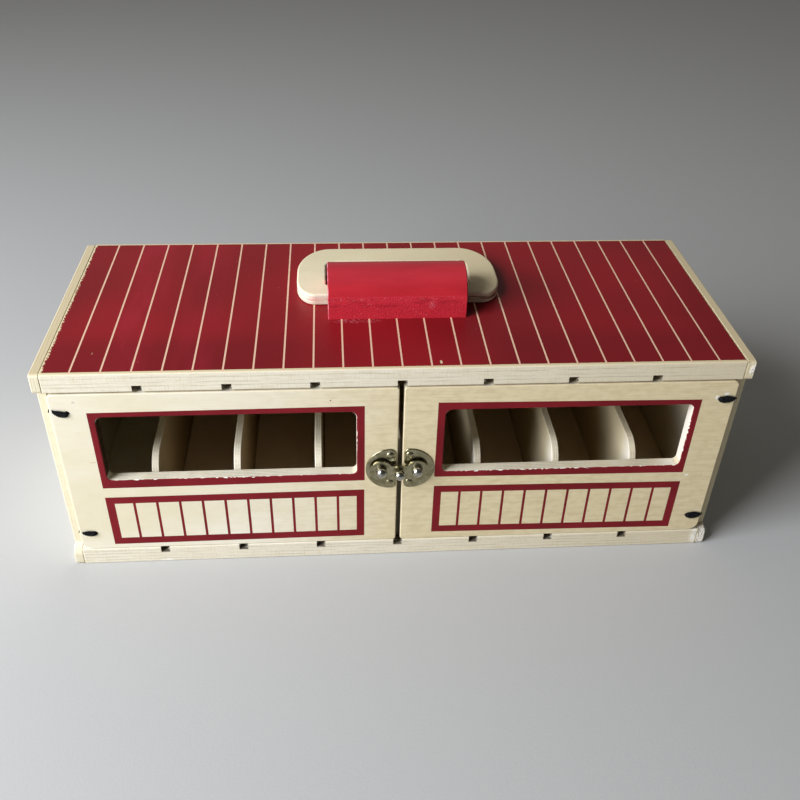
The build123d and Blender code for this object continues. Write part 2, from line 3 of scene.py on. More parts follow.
import bmesh
import bpy
import numpy as np
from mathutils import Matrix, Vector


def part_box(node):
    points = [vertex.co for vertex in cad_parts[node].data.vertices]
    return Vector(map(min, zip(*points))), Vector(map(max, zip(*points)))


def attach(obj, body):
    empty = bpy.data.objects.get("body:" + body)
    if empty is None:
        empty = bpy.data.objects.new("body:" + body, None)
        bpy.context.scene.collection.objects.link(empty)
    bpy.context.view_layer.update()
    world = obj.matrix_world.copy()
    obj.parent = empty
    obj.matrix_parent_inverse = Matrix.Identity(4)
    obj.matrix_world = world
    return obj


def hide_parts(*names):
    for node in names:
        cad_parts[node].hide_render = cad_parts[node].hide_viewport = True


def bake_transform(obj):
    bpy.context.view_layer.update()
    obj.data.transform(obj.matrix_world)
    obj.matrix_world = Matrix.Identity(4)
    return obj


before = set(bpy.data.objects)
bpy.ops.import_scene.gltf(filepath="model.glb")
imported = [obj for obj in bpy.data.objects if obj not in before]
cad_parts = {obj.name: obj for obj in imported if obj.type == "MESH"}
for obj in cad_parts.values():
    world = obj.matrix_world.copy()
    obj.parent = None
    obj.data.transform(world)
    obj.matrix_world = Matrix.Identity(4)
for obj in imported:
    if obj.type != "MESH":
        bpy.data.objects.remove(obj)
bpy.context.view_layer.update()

bl_info = {
    "name": "Toy stable box",
    "version": (1, 0, 0),
    "blender": (4, 5, 0),
    "location": "View3D > Sidebar > Stable box",
    "description": "Finishes, clasp plates, braided hinge cords and a studio for a toy stable box",
    "category": "Object",
}

MM = 0.001


# ---------------------------------------------------------------- places taken from the frame
def box_mm(node):
    """Lowest and highest corner of a CAD node in millimetres."""
    low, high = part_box(node)
    return np.array(low) / MM, np.array(high) / MM


ROOF_LOW, ROOF_HIGH = box_mm("roof_panel")
BASE_LOW, BASE_HIGH = box_mm("base_panel")
BACK_LOW, BACK_HIGH = box_mm("back_panel")
WALL_LOW, WALL_HIGH = box_mm("end_wall_right")
DOOR_LOW, DOOR_HIGH = box_mm("door_right")
DIVIDER_LOW = box_mm("stall_divider_4")[0]
PLATE_LOW, PLATE_HIGH = box_mm("clasp_plate_right")
BRACKET_LOW, BRACKET_HIGH = box_mm("handle_bracket")
RING_LOW = box_mm("handle_ring")[0]
STALL_PITCH = box_mm("stall_divider_5")[0][0] - DIVIDER_LOW[0]
DIVIDER_COUNT = 7
SECOND_STALL_X = -3.1 * STALL_PITCH     # left of it lie the first divider and the first stall

# ---------------------------------------------------------------- prints, in millimetres
WINDOW = (25.0, 167.5, 66.4, 111.4)     # a door's opening: across from, to, low, high
WINDOW_R = 3.4
FRAME_PRINT = (20.5, 171.1, 61.3, 115.4)
PANEL_PRINT = (20.7, 171.2, 16.6, 54.1)
PANEL_BARE = (25.3, 166.4, 21.7, 49.1)
BAR_FIRST = 36.4                        # a printed bar's place, from which the others count
PRINT_MIDDLE = 96.0                     # where the askew prints turn about
LEFT_ASKEW = (-0.35, -0.005)            # a print's lift, and its lift per mm outwards
RIGHT_ASKEW = (0.35, -0.012)
ROOF_INK = (-190.5, 191.0, ROOF_LOW[1] + 2.15, ROOF_HIGH[1] - 1.95)

# ---------------------------------------------------------------- plywood, in millimetres
ROOF_GLUE = (2.9, 6.1, 8.4)             # glue lines below a board's face
BASE_GLUE = (2.2, 4.4, 6.9, 9.3)
DOOR_GLUE = (1.4, 2.8, 4.2, 5.6)
THIN_GLUE = (1.6, 3.4)
RING_GLUE = (1.5, 3.1, 4.7)
DIVIDER_GLUE = (1.4, 2.8)
GROOVE_W = 5.2
GROOVE_DEPTH = 4.0
GLUE_RECESS = 0.12                      # how far the glue in the joints lies below the surface
WOOD_ROUGHNESS = 0.6                    # of bare sanded wood
WOOD_SPECULAR = 0.3

# ---------------------------------------------------------------- clasp plates, in millimetres
PLATE_CENTRE = 9.0                      # where a plate's outline is measured from
PLATE_LOBE_R = 3.3
PLATE_BITE_R = 6.0
PLATE_BITE_HALF_H = 4.3
PLATE_SEARCH, PLATE_STEPS = 20, 2001    # how far out an edge is sought, and in how many steps
PLATE_COLUMNS = 240
PLATE_RINGS = (12, 9, 7, 5.5, 4.2, 3.2, 2.4, 1.8, 1.5, 1.3, 1.1, 0.95, 0.7, 0.5, 0.3, 0.12, 0)
PLATE_RIM_W, PLATE_STEP = 1.2, 0.08     # the rim's width, and the step down behind it
PLATE_DOME_TOP = 9.2                    # how far in from the outline the dome stops rising
PLATE_EDGE_W, PLATE_EDGE_DROP = 0.7, 0.4    # how wide and how far the rim's edge is rounded off

# ---------------------------------------------------------------- hinge cords, in millimetres
CORD_R = 1.1
CORD_X = 181.1
CORD_WALL_Y = -64.15
CORD_ROUTE = (                          # a right-hand cord seen from above
    (CORD_X, -66.0), (CORD_X, -70.0), (CORD_X, -74.8), (181.3, -76.95), (184.0, -77.0),
    (187.5, -77.0), (190.2, -76.95), (191.15, -76.2), (191.15, -73.0), (191.15, -69.0),
    (191.15, -65.6), (191.7, CORD_WALL_Y), (193.5, CORD_WALL_Y), (197.6, CORD_WALL_Y),
)
BRAID_STRANDS, BRAID_LAY = 8, 3.0       # strands, and the length of one turn
BRAID_VALLEY, BRAID_SWELL = 0.8, 0.22   # the braid's reach between its crossings, and what they add
BRAID_TIP = 0.02                        # share of the cord's length in which an end tapers
ON_FACE_Y = (-75.5, -76.7)              # where the cord comes out on the door's face
LEAVES = {                # start, stop, rise of the tip, of the middle, share of the width, sink
    ("left", "top"): (179.2, 188.9, 2.1, -0.9, 1.0, 2.0),
    ("left", "bottom"): (179.2, 188.9, 0.8, 0.0, 1.0, 2.0),
    ("right", "top"): (179.4, 190.3, 0.3, 0.0, 1.2, 0.0),
    ("right", "bottom"): (179.4, 190.3, 0.5, 0.0, 1.3, 0.0),
}
LEAF_THINS_X = (181.3, 182.9)           # where the round cord flattens to the leaf
LEAF_HALF_T = 0.6
STRIP_HALF_W = 0.24
AT_WALL_Y = (-68.0, -65.0)              # where the strip beside the end wall turns round again
AT_WALL_X = 190.0
KNOT = (3.0, 3.3, 0.95)                 # radius, thickness and its cord's radius
KNOT_LAY = 4.0
DOOR_KNOT_Y = -67.6
WALL_KNOT_X = 196.72

# ---------------------------------------------------------------- wear, painted shade and painted light, in millimetres
INSIDE_NEAR, INSIDE_FAR = 14.0, 70.0    # behind the doors: where the painted shade inside begins, and where it stops growing
LIT_WITHIN = 24.0                     # how far behind the doors the dividers' left faces get a painted highlight, whitest at the doors
DOOR_SHADE_X = (-130.0, 25.0)            # between these the doors' veneer is painted warmer and darker, as painted shade
RING_SHADE_X = (-45.0, 60.0)              # and the ring's is painted tan, as painted shade
SILL_CHIP_REACH = (0.75, 0.45)          # largest chips along a window's sill, left and right door
SHOULDER_Z = BRACKET_LOW[2] + 13.3      # where the block's straight front ends

# bands: from, to and the width of the soft edge
# painted shade in the middle of the back's inner face, and painted light at its left end
BACK_SHADE_X = (-105.0, 25.0, 30.0)
BACK_LIGHT_X = (-200.0, -150.0, 12.0)
BROWN_PLY_X = (36.0, 70.0, 12.0)
BROWN_PLY_DEPTH = (2.6, 4.6, 0.5)
# the roof's painted shade along its front: left out between these x, and reaching back to this y
ROOF_UNSHADED_X = (-42.0, 42.0, 25.0)
ROOF_SHADE_Y = (ROOF_LOW[1], -54.0, 24.0)
ROOF_SHEEN_X = ((-155.0, -143.0, 9.0), (-118.0, -108.0, 12.0))

# spots: centre, and reach along x, y and z
RING_RUB = ((-44.0, RING_LOW[1], 143.6), (15.0, 4.0, 3.2))
ROOF_SCRATCH = ((-167.6, -56.3, ROOF_HIGH[2]), (0.4, 1.4, 2.0))
ROOF_GOUGE = ((21.3, -70.7, ROOF_HIGH[2]), (0.9, 2.2, 2.0))
ROOF_DUST = ((-24.0, BRACKET_LOW[1] - 2.0, ROOF_HIGH[2]), (18.0, 3.5, 4.0))
BLOCK_SCUFF = ((20.5, BRACKET_LOW[1], BRACKET_LOW[2] + 9.0), (2.6, 3.0, 3.6))
BASE_CHIPS = (
    ((-141.5, BASE_LOW[1], 0.8), (5.0, 1.0, 1.7)),
    ((BASE_HIGH[0], BASE_LOW[1], 7.0), (6.0, 5.0, 9.0)),
)
LOBE_BREAKS = (
    ((WALL_HIGH[0] - 1.0, WALL_LOW[1], 5.5), (12.0, 9.0, 11.0)),
    ((WALL_HIGH[0], WALL_LOW[1], 134.5), (4.0, 3.5, 5.0)),
)
DOOR_STAINS = (                         # x, z, half width, half height and colour
    (-39.3, 119.7, 0.55, 0.55, "#5C4A30"), (-26.5, 93.0, 1.2, 1.6, "#B9A77D"),
    (-173.4, 80.0, 2.6, 0.55, "#D6C59B"), (-176.8, 122.0, 1.2, 1.0, "#CEC8B2"),
)
DOOR_CHIPS = (                          # the same without a colour: torn fibre shows
    (174.0, 58.6, 1.6, 0.9), (179.2, 116.2, 1.1, 2.0),
    (184.6, 118.4, 2.0, 1.3), (189.6, 113.8, 0.9, 1.6),
)

# fibres in the notches: the notch's open edge, how many, and which way up from it
NOTCH_FIBRES = ((ROOF_LOW[2], 7, 1), (BASE_HIGH[2], 16, -1))
NOTCH_RIGHT_SHARE = 0.75                # share of them on the notch's right side
NOTCH_SCATTER, NOTCH_REACH = 0.25, 3.4  # beside that side, and along it
NOTCH_INSET = (0.05, 0.5)               # behind the boards' front
NOTCH_SEED, FIBRE_SEED = 11, 12
FIBRE_R = 0.09
# patches of splinters: a box's low and high corner, aim, how many, share of the length, and seed
LOBE_SPLINTERS = ((190.6, -76.25, 2.4), (196.9, -75.6, 12.4), (0.1, -0.7, -0.5), 120, 0.8, 15)
HOLE_SPLINTERS = ((179.4, -76.45, 113.6), (180.9, -76.2, 117.4), (-0.4, -0.3, 0.5), 22, 0.9, 14)

# ---------------------------------------------------------------- faces: axis, and its normal's range
UP = (2, 0.8, 1.1)
FRONT = (1, -1.1, -0.5)
LEFT = (0, -1.1, -0.5)
RIGHT = (0, 0.5, 1.1)

# ---------------------------------------------------------------- stage, in metres and degrees
LAMP_PLACE = np.array([-1.08, -0.62, 0.76])
LAMP_AIM = np.array([0.0, 0.0, 0.07])
LAMP_POWER = 36.5
LAMP_SIZE = (0.8, 1.1)
SKY_FADES = (                           # along x, y and z: from, to, and the strength at each
    (-1.0, 1.0, 1.2, 0.15),
    (-1.0, 1.0, 0.42, 1.25),
    (0.0, 0.8, 0.66, 0.2),
)
CAMERA_PLACE = (-0.03665, -0.47651, 0.41098)
CAMERA_TURN = (53.98596, -1.41832, -4.04325)
CAMERA_LENS_MM, CAMERA_SENSOR_MM = 40.564, 36.0
CAMERA_NEAR, CAMERA_FAR = 0.01, 20.0


# ---------------------------------------------------------------- colours and nodes
def linear(hex_colour):
    """An sRGB hex colour as linear red, green and blue, with alpha 1."""
    parts = [int(hex_colour[i:i + 2], 16) / 255 for i in (1, 3, 5)]
    return tuple(p / 12.92 if p <= 0.04045 else ((p + 0.055) / 1.055) ** 2.4 for p in parts) + (1.0,)


def add(tree, kind, sockets=None, out=0, **settings):
    """Add one node. Settings are its own properties; sockets are values or other nodes' outputs."""
    node = tree.nodes.new("ShaderNode" + kind)
    for name, value in settings.items():
        setattr(node, name, value)
    for key, value in (sockets or {}).items():
        if isinstance(value, bpy.types.NodeSocket):
            tree.links.new(value, node.inputs[key])
        else:
            node.inputs[key].default_value = value
    return node.outputs[out] if node.outputs else node


def begin(name):
    """A new material with its tree, and the surface point in millimetres with its x, y and z."""
    material = bpy.data.materials.new(name)
    material.use_nodes = True
    tree = material.node_tree
    tree.nodes.clear()
    place = add(tree, "TexCoord", out="Object")
    point = add(tree, "VectorMath", {0: place, "Scale": 1 / MM}, operation="SCALE")
    return material, tree, point, [add(tree, "SeparateXYZ", {0: point}, out=i) for i in range(3)]


def end(material, colour, roughness, height, depth_mm, specular=0.5, metallic=0.0):
    """Close a material and return it: height is relief from 0 to 1, depth_mm its real depth. What
    is the same all over the surface is set on the shader's own sockets."""
    tree = material.node_tree
    normal = add(tree, "Bump", {"Height": height, "Distance": depth_mm * MM})
    shader = add(tree, "BsdfPrincipled", {
        "Base Color": colour, "Roughness": roughness, "Normal": normal,
        "Specular IOR Level": specular, "Metallic": metallic,
    })
    add(tree, "OutputMaterial", {"Surface": shader})
    return material


# ---------------------------------------------------------------- patterns
def blotches(tree, point, sizes, low=0.3, high=0.7, start=0.0, stop=1.0, detail=2.0, shift=0.0):
    """Noise whose blotches measure sizes in millimetres, one for all or three along x, y and z,
    taken smoothly from start, where it is under low, to stop, where it is over high."""
    scales = tuple(1 / size for size in np.broadcast_to(sizes, 3))
    moved = add(tree, "VectorMath", {0: point, 1: scales, 2: (shift,) * 3}, operation="MULTIPLY_ADD")
    noise = add(tree, "TexNoise", {"Vector": moved, "Scale": 1.0, "Detail": detail})
    sockets = {"Value": noise, "From Min": low, "From Max": high, "To Min": start, "To Max": stop}
    return add(tree, "MapRange", sockets, interpolation_type="SMOOTHSTEP")


def band(tree, value, low, high, soft=0.06):
    """1 where the value lies between low and high, falling to 0 within soft beyond them."""
    off = add(tree, "Math", {0: value, 1: (low + high) / 2}, operation="SUBTRACT")
    off = add(tree, "Math", {0: off}, operation="ABSOLUTE")
    half = (high - low) / 2
    return add(tree, "MapRange", {"Value": off, "From Min": half + soft, "From Max": half},
               interpolation_type="SMOOTHSTEP")


def overlap(tree, *masks):
    """What all the masks have in common: their product."""
    shared = masks[0]
    for mask in masks[1:]:
        shared = add(tree, "Math", {0: shared, 1: mask}, operation="MULTIPLY")
    return shared


def panel(tree, across, up, edges):
    """1 inside a rectangle whose edges are given from, to, low and high."""
    return overlap(tree, band(tree, across, *edges[:2]), band(tree, up, *edges[2:]))


def stripes(tree, value, pitch, width, first=0.0, soft=0.06):
    """1 on lines of that width which repeat with the pitch, one of them at first."""
    shifted = add(tree, "Math", {0: value, 1: first}, operation="SUBTRACT")
    away = add(tree, "Math", {0: shifted, 1: pitch / 2}, operation="PINGPONG")
    return add(tree, "MapRange", {"Value": away, "From Min": width / 2 + soft, "From Max": width / 2})


def facing(tree, axis, low, high, soft=0.08):
    """1 where the surface's normal along that axis lies between low and high, else 0."""
    normal = add(tree, "TexCoord", out="Normal")
    return band(tree, add(tree, "SeparateXYZ", {0: normal}, out=axis), low, high, soft)


def specks(tree, point, spacing, radius, share):
    """Round specks of about that radius on a share of the cells of a grid of that spacing."""
    cells = {"Vector": point, "Scale": 1 / spacing}
    near = add(tree, "TexVoronoi", cells)
    chance = add(tree, "SeparateColor", {0: add(tree, "TexVoronoi", cells, out="Color")})
    small = add(tree, "MapRange", {"Value": near, "From Min": 1.3 * radius / spacing,
                                   "From Max": 0.7 * radius / spacing})
    few = add(tree, "Math", {0: chance, 1: share}, operation="LESS_THAN")
    return overlap(tree, small, few)


def spot(tree, point, centre, reach):
    """A soft round or oval mark at a place: 1 at its centre and 0 at its reach along each axis."""
    scales = tuple(1 / size for size in reach)
    offset = tuple(-c / size for c, size in zip(centre, reach))
    local = add(tree, "VectorMath", {0: point, 1: scales, 2: offset}, operation="MULTIPLY_ADD")
    away = add(tree, "VectorMath", {0: local}, out="Value", operation="LENGTH")
    return add(tree, "MapRange", {"Value": away, "From Min": 1.0, "From Max": 0.45},
               interpolation_type="SMOOTHSTEP")


def coats(tree, base, *layers):
    """Colours laid one over another on a base, each through its own mask."""
    for mask, colour in layers:
        base = add(tree, "Mix", {0: mask, 6: base, 7: colour}, out=2, data_type="RGBA")
    return base


def drawn_out(grain, along, across):
    """Sizes along x, y and z of a blotch that is drawn out along the grain's axis."""
    return [along if axis == grain else across for axis in range(3)]


def veneer(tree, point, colours, grain, ground):
    """Rotary-cut face veneer: broad clouds, short fine streaks drawn out along the grain, fine
    pores and a faint mottle. A birch's pores are 0.1 mm wide; they are drawn 0.4 mm wide, and the
    streaks 1.1 mm, so that they show."""
    clouds = blotches(tree, point, drawn_out(grain, 120.0, 45.0), 0.3, 0.75, 0.0, 0.6)
    streaks = blotches(tree, point, drawn_out(grain, 26.0, 1.1), 0.5, 0.82, 0.0, 0.22, 3.0, 7.0)
    pores = blotches(tree, point, drawn_out(grain, 5.0, 0.4), 0.6, 0.78, 0.0, 0.2, 2.0, 3.0)
    mottle = blotches(tree, point, drawn_out(grain, 9.0, 5.0), 0.35, 0.7, 0.0, 0.16, 4.0, 9.0)
    colour = coats(tree, ground, (clouds, colours.veneer_tan), (streaks, colours.veneer_tan),
                   (mottle, colours.veneer_tan), (pores, colours.pore))
    return colour, add(tree, "Math", {0: streaks, 1: pores}, operation="ADD")


def plies(tree, point, depth, glue, colours, line_shade):
    """A board's sawn edge: cream end grain, speckled, with fine saw marks across it, thin broken grey
    lines at the glue depths, and painted shade that turns it tan towards the right. depth is the
    distance from one face in millimetres. A glue line is 0.1 mm thick and is drawn about 0.5 mm, as are
    the pores, so that they show."""
    wave = blotches(tree, point, 30.0, 0.2, 0.8, -0.35, 0.35, 3.0, 5.0)
    wavy = add(tree, "Math", {0: depth, 1: wave}, operation="ADD")
    grain = blotches(tree, point, (9.0, 9.0, 0.5), 0.35, 0.75, 0.0, 0.35, 3.0, 9.0)
    pores = blotches(tree, point, (0.5, 0.9, 0.9), 0.5, 0.8, 0.0, 0.45, 2.0, 2.0)
    broken = blotches(tree, point, (17.0, 17.0, 4.0), 0.36, 0.66, 0.05, 1.0, 4.0, 1.0)
    lines = 0.0
    for place in glue:
        line = band(tree, wavy, place - 0.08, place + 0.08, 0.4)
        lines = add(tree, "Math", {0: lines, 1: line}, operation="ADD", use_clamp=True)
    lines = overlap(tree, lines, broken)
    sawn = blotches(tree, point, (0.7, 0.7, 7.0), 0.5, 0.75, 0.0, 0.3, 1.0, 4.0)
    x = add(tree, "SeparateXYZ", {0: point})
    # painted shade: the sawn edges turn tan towards the right, where the light falls off
    rightward_edge_shade = add(tree, "MapRange", {"Value": x, "From Min": -40.0, "From Max": 190.0, "To Max": 0.5})
    colour = coats(tree, colours.ply_edge, (rightward_edge_shade, colours.ply_edge_tan), (grain, colours.ply_edge_tan),
                   (pores, colours.ply_edge_tan), (sawn, colours.ply_edge_tan),
                   (overlap(tree, lines, line_shade), colours.glue_line))
    return colour, add(tree, "Math", {0: pores, 1: lines}, operation="SUBTRACT")


def board(tree, point, depth, glue, axis, grain, colours, ground=None, line_shade=0.35):
    """A plywood board's colour and relief: veneer on its two faces, plies round its edges."""
    ground = colours.veneer if ground is None else ground
    on_face, face_height = veneer(tree, point, colours, grain, ground)
    on_edge, edge_height = plies(tree, point, depth, glue, colours, line_shade)
    at_edge = facing(tree, axis, -0.62, 0.62, 0.25)
    colour = coats(tree, on_face, (at_edge, on_edge))
    return colour, add(tree, "Mix", {0: at_edge, 2: face_height, 3: edge_height})


def shaded_grooves(tree, x, z, low, high):
    """Painted shade in the stall grooves' inside."""
    inner = band(tree, x, -3.5 * STALL_PITCH, 3.5 * STALL_PITCH)
    return overlap(tree, stripes(tree, x, STALL_PITCH, GROOVE_W + 0.1), band(tree, z, low, high), inner)


def inside_shade(tree, x, y, z, colours):
    """Painted shade for what lies inside the box: browner the further it is from the doors, less so to
    the right, and not in the stall at the left end."""
    near, far = DOOR_HIGH[1] + INSIDE_NEAR, DOOR_HIGH[1] + INSIDE_FAR
    deep = add(tree, "MapRange", {"Value": y, "From Min": near, "From Max": far, "To Max": 0.85},
               interpolation_type="SMOOTHSTEP")
    within = band(tree, x, SECOND_STALL_X, WALL_LOW[0] + 0.3)
    share = add(tree, "MapRange", {"Value": x, "From Min": -20.0, "From Max": 40.0, "To Min": 1.0,
                                   "To Max": 0.45})
    between = band(tree, z, BASE_HIGH[2], ROOF_LOW[2])
    return overlap(tree, deep, within, share, between), colours.shade_veneer


# ---------------------------------------------------------------- materials
def back_plywood(colours):
    """Birch plywood back of unsorted veneer: tan, and on its inner face painted shade in the middle and
    painted light at the left end."""
    material, tree, point, (x, y, _) = begin("sanded_birch_plywood_back")
    depth = add(tree, "Math", {0: y, 1: BACK_LOW[1]}, operation="SUBTRACT")
    inner_face = facing(tree, *FRONT)
    # painted shade in the middle of the inner face, painted light at its left end
    shade_middle = overlap(tree, band(tree, x, *BACK_SHADE_X), inner_face)
    light_end = overlap(tree, band(tree, x, *BACK_LIGHT_X), inner_face)
    ground = coats(tree, colours.inner_veneer, (shade_middle, colours.back_shade), (light_end, colours.back_light))
    colour, height = board(tree, point, depth, THIN_GLUE, 1, 0, colours, ground)
    return end(material, colour, WOOD_ROUGHNESS, height, 0.04, WOOD_SPECULAR)


def ring_plywood(colours):
    """Birch plywood carry ring: sanded smooth, creamy at the left and painted tan at the right as shade
    from the block, where a brown ply shows in the edge, with a little of the block's enamel rubbed off
    on the left."""
    material, tree, point, (x, _, z) = begin("sanded_birch_plywood_ring")
    depth = add(tree, "Math", {0: z, 1: RING_LOW[2]}, operation="SUBTRACT")
    # painted shade: tan towards the right, where the block shades the ring
    tan = add(tree, "MapRange", {"Value": x, "From Min": RING_SHADE_X[0], "From Max": RING_SHADE_X[1]})
    ground = coats(tree, colours.ring_veneer, (tan, colours.ring_veneer_shade))
    colour, height = board(tree, point, depth, RING_GLUE, 2, 0, colours, ground)
    edge = facing(tree, 2, -0.6, 0.6, 0.2)
    dashes = blotches(tree, point, (9.0, 9.0, 0.8), 0.42, 0.62, 0.0, 0.85, 3.0, 2.0)
    brown = overlap(tree, band(tree, depth, *BROWN_PLY_DEPTH), band(tree, x, *BROWN_PLY_X), dashes, edge)
    rubbed = overlap(tree, spot(tree, point, *RING_RUB), dashes, edge)
    colour = coats(tree, colour, (brown, colours.brown_ply), (rubbed, colours.rubbed_enamel))
    return end(material, colour, 0.55, height, 0.03, WOOD_SPECULAR)


def divider_plywood(colours):
    """Birch plywood dividers: sanded, with painted shade on their right faces and deep inside, and a
    painted highlight on their left faces by the doors; the middle one's front edge has painted shade
    where the doors meet."""
    material, tree, point, (x, y, z) = begin("sanded_birch_plywood_dividers")
    depth = add(tree, "Math", {0: x, 1: DIVIDER_LOW[0]}, operation="SUBTRACT")
    depth = add(tree, "Math", {0: depth, 1: STALL_PITCH, 2: 0.0}, operation="WRAP")
    colour, height = board(tree, point, depth, DIVIDER_GLUE, 0, 2, colours, colours.divider_veneer, 0.3)
    # painted shade on the middle divider's front edge, seen in the gap where the doors meet
    middle = overlap(tree, band(tree, x, -2.5, 2.5), facing(tree, 1, -1.1, -0.1), 0.7)
    # painted shade on the right faces, which turn away from the light
    shaded_side = overlap(tree, facing(tree, *RIGHT), 0.5)
    # painted highlight on the left faces, which face the light, strongest by the doors
    near, far = DOOR_HIGH[1], DOOR_HIGH[1] + LIT_WITHIN
    by_doors = add(tree, "MapRange", {"Value": y, "From Min": far, "From Max": near, "To Max": 0.8},
                   interpolation_type="SMOOTHSTEP")
    lit_side = overlap(tree, facing(tree, *LEFT), by_doors)
    colour = coats(tree, colour, (shaded_side, colours.shade_veneer), inside_shade(tree, x, y, z, colours),
                   (lit_side, colours.torn_fibre_and_highlight), (middle, colours.shade_brown))
    return end(material, colour, WOOD_ROUGHNESS, height, 0.04, WOOD_SPECULAR)


def base_plywood(colours):
    """Birch plywood base: sanded faces, painted shade on the stalls' floor, sawn edges, and painted
    shade in the grooves."""
    material, tree, point, (x, y, z) = begin("sanded_birch_plywood_base")
    depth = add(tree, "Math", {0: BASE_HIGH[2], 1: z}, operation="SUBTRACT")
    colour, height = board(tree, point, depth, BASE_GLUE, 2, 0, colours)
    # painted shade in the grooves
    groove_shade = shaded_grooves(tree, x, z, BASE_HIGH[2] - GROOVE_DEPTH - 0.1, BASE_HIGH[2] - 0.15)
    chip, end_chip = (spot(tree, point, *place) for place in BASE_CHIPS)
    chip = add(tree, "Math", {0: chip, 1: end_chip}, operation="MAXIMUM")
    chip = overlap(tree, chip, blotches(tree, point, 1.3, 0.3, 0.5, detail=4.0, shift=4.0))
    # painted shade on the floor inside the box, left out in the stall at the left end
    stall_floor_shade = overlap(tree, facing(tree, *UP), band(tree, y, DOOR_HIGH[1], BACK_HIGH[1]),
                          band(tree, x, SECOND_STALL_X, WALL_LOW[0]))
    colour = coats(tree, colour, (stall_floor_shade, colours.stall_floor_shade),
                   (overlap(tree, groove_shade, 0.85), colours.shade_brown), (chip, colours.torn_fibre_and_highlight))
    height = add(tree, "Math", {0: chip, 1: 4.0, 2: height}, operation="MULTIPLY_ADD")
    return end(material, colour, WOOD_ROUGHNESS, height, 0.04, WOOD_SPECULAR)


def torn_plywood_wall(colours):
    """Birch plywood end walls: sanded, with the lobe at the lower right front broken off to
    white splinters, and small bruises at the lobe above it."""
    material, tree, point, (x, y, z) = begin("sanded_birch_plywood_walls")
    depth = add(tree, "Math", {0: x}, operation="ABSOLUTE")
    depth = add(tree, "Math", {0: depth, 1: WALL_LOW[0]}, operation="SUBTRACT")
    colour, height = board(tree, point, depth, THIN_GLUE, 0, 1, colours, line_shade=0.15)
    lower, upper = (spot(tree, point, *place) for place in LOBE_BREAKS)
    rough = blotches(tree, point, 1.2, 0.3, 0.5, detail=4.0, shift=4.0)
    broken = add(tree, "Math", {0: lower, 1: upper}, operation="MAXIMUM")
    torn = overlap(tree, broken, rough)
    top = band(tree, z, WALL_HIGH[2] - 3.0, WALL_HIGH[2] + 1.0)
    on_top = overlap(tree, facing(tree, *UP), top, 0.85)
    on_front = overlap(tree, facing(tree, *FRONT), 0.4)
    # painted shade deep inside the box
    colour = coats(tree, colour, inside_shade(tree, x, y, z, colours), (on_front, colours.veneer_tan),
                   (on_top, colours.wall_top), (torn, colours.torn_fibre_and_highlight))
    height = add(tree, "Math", {0: torn, 1: 9.0, 2: height}, operation="MULTIPLY_ADD")
    return end(material, colour, WOOD_ROUGHNESS, height, 0.05, WOOD_SPECULAR)


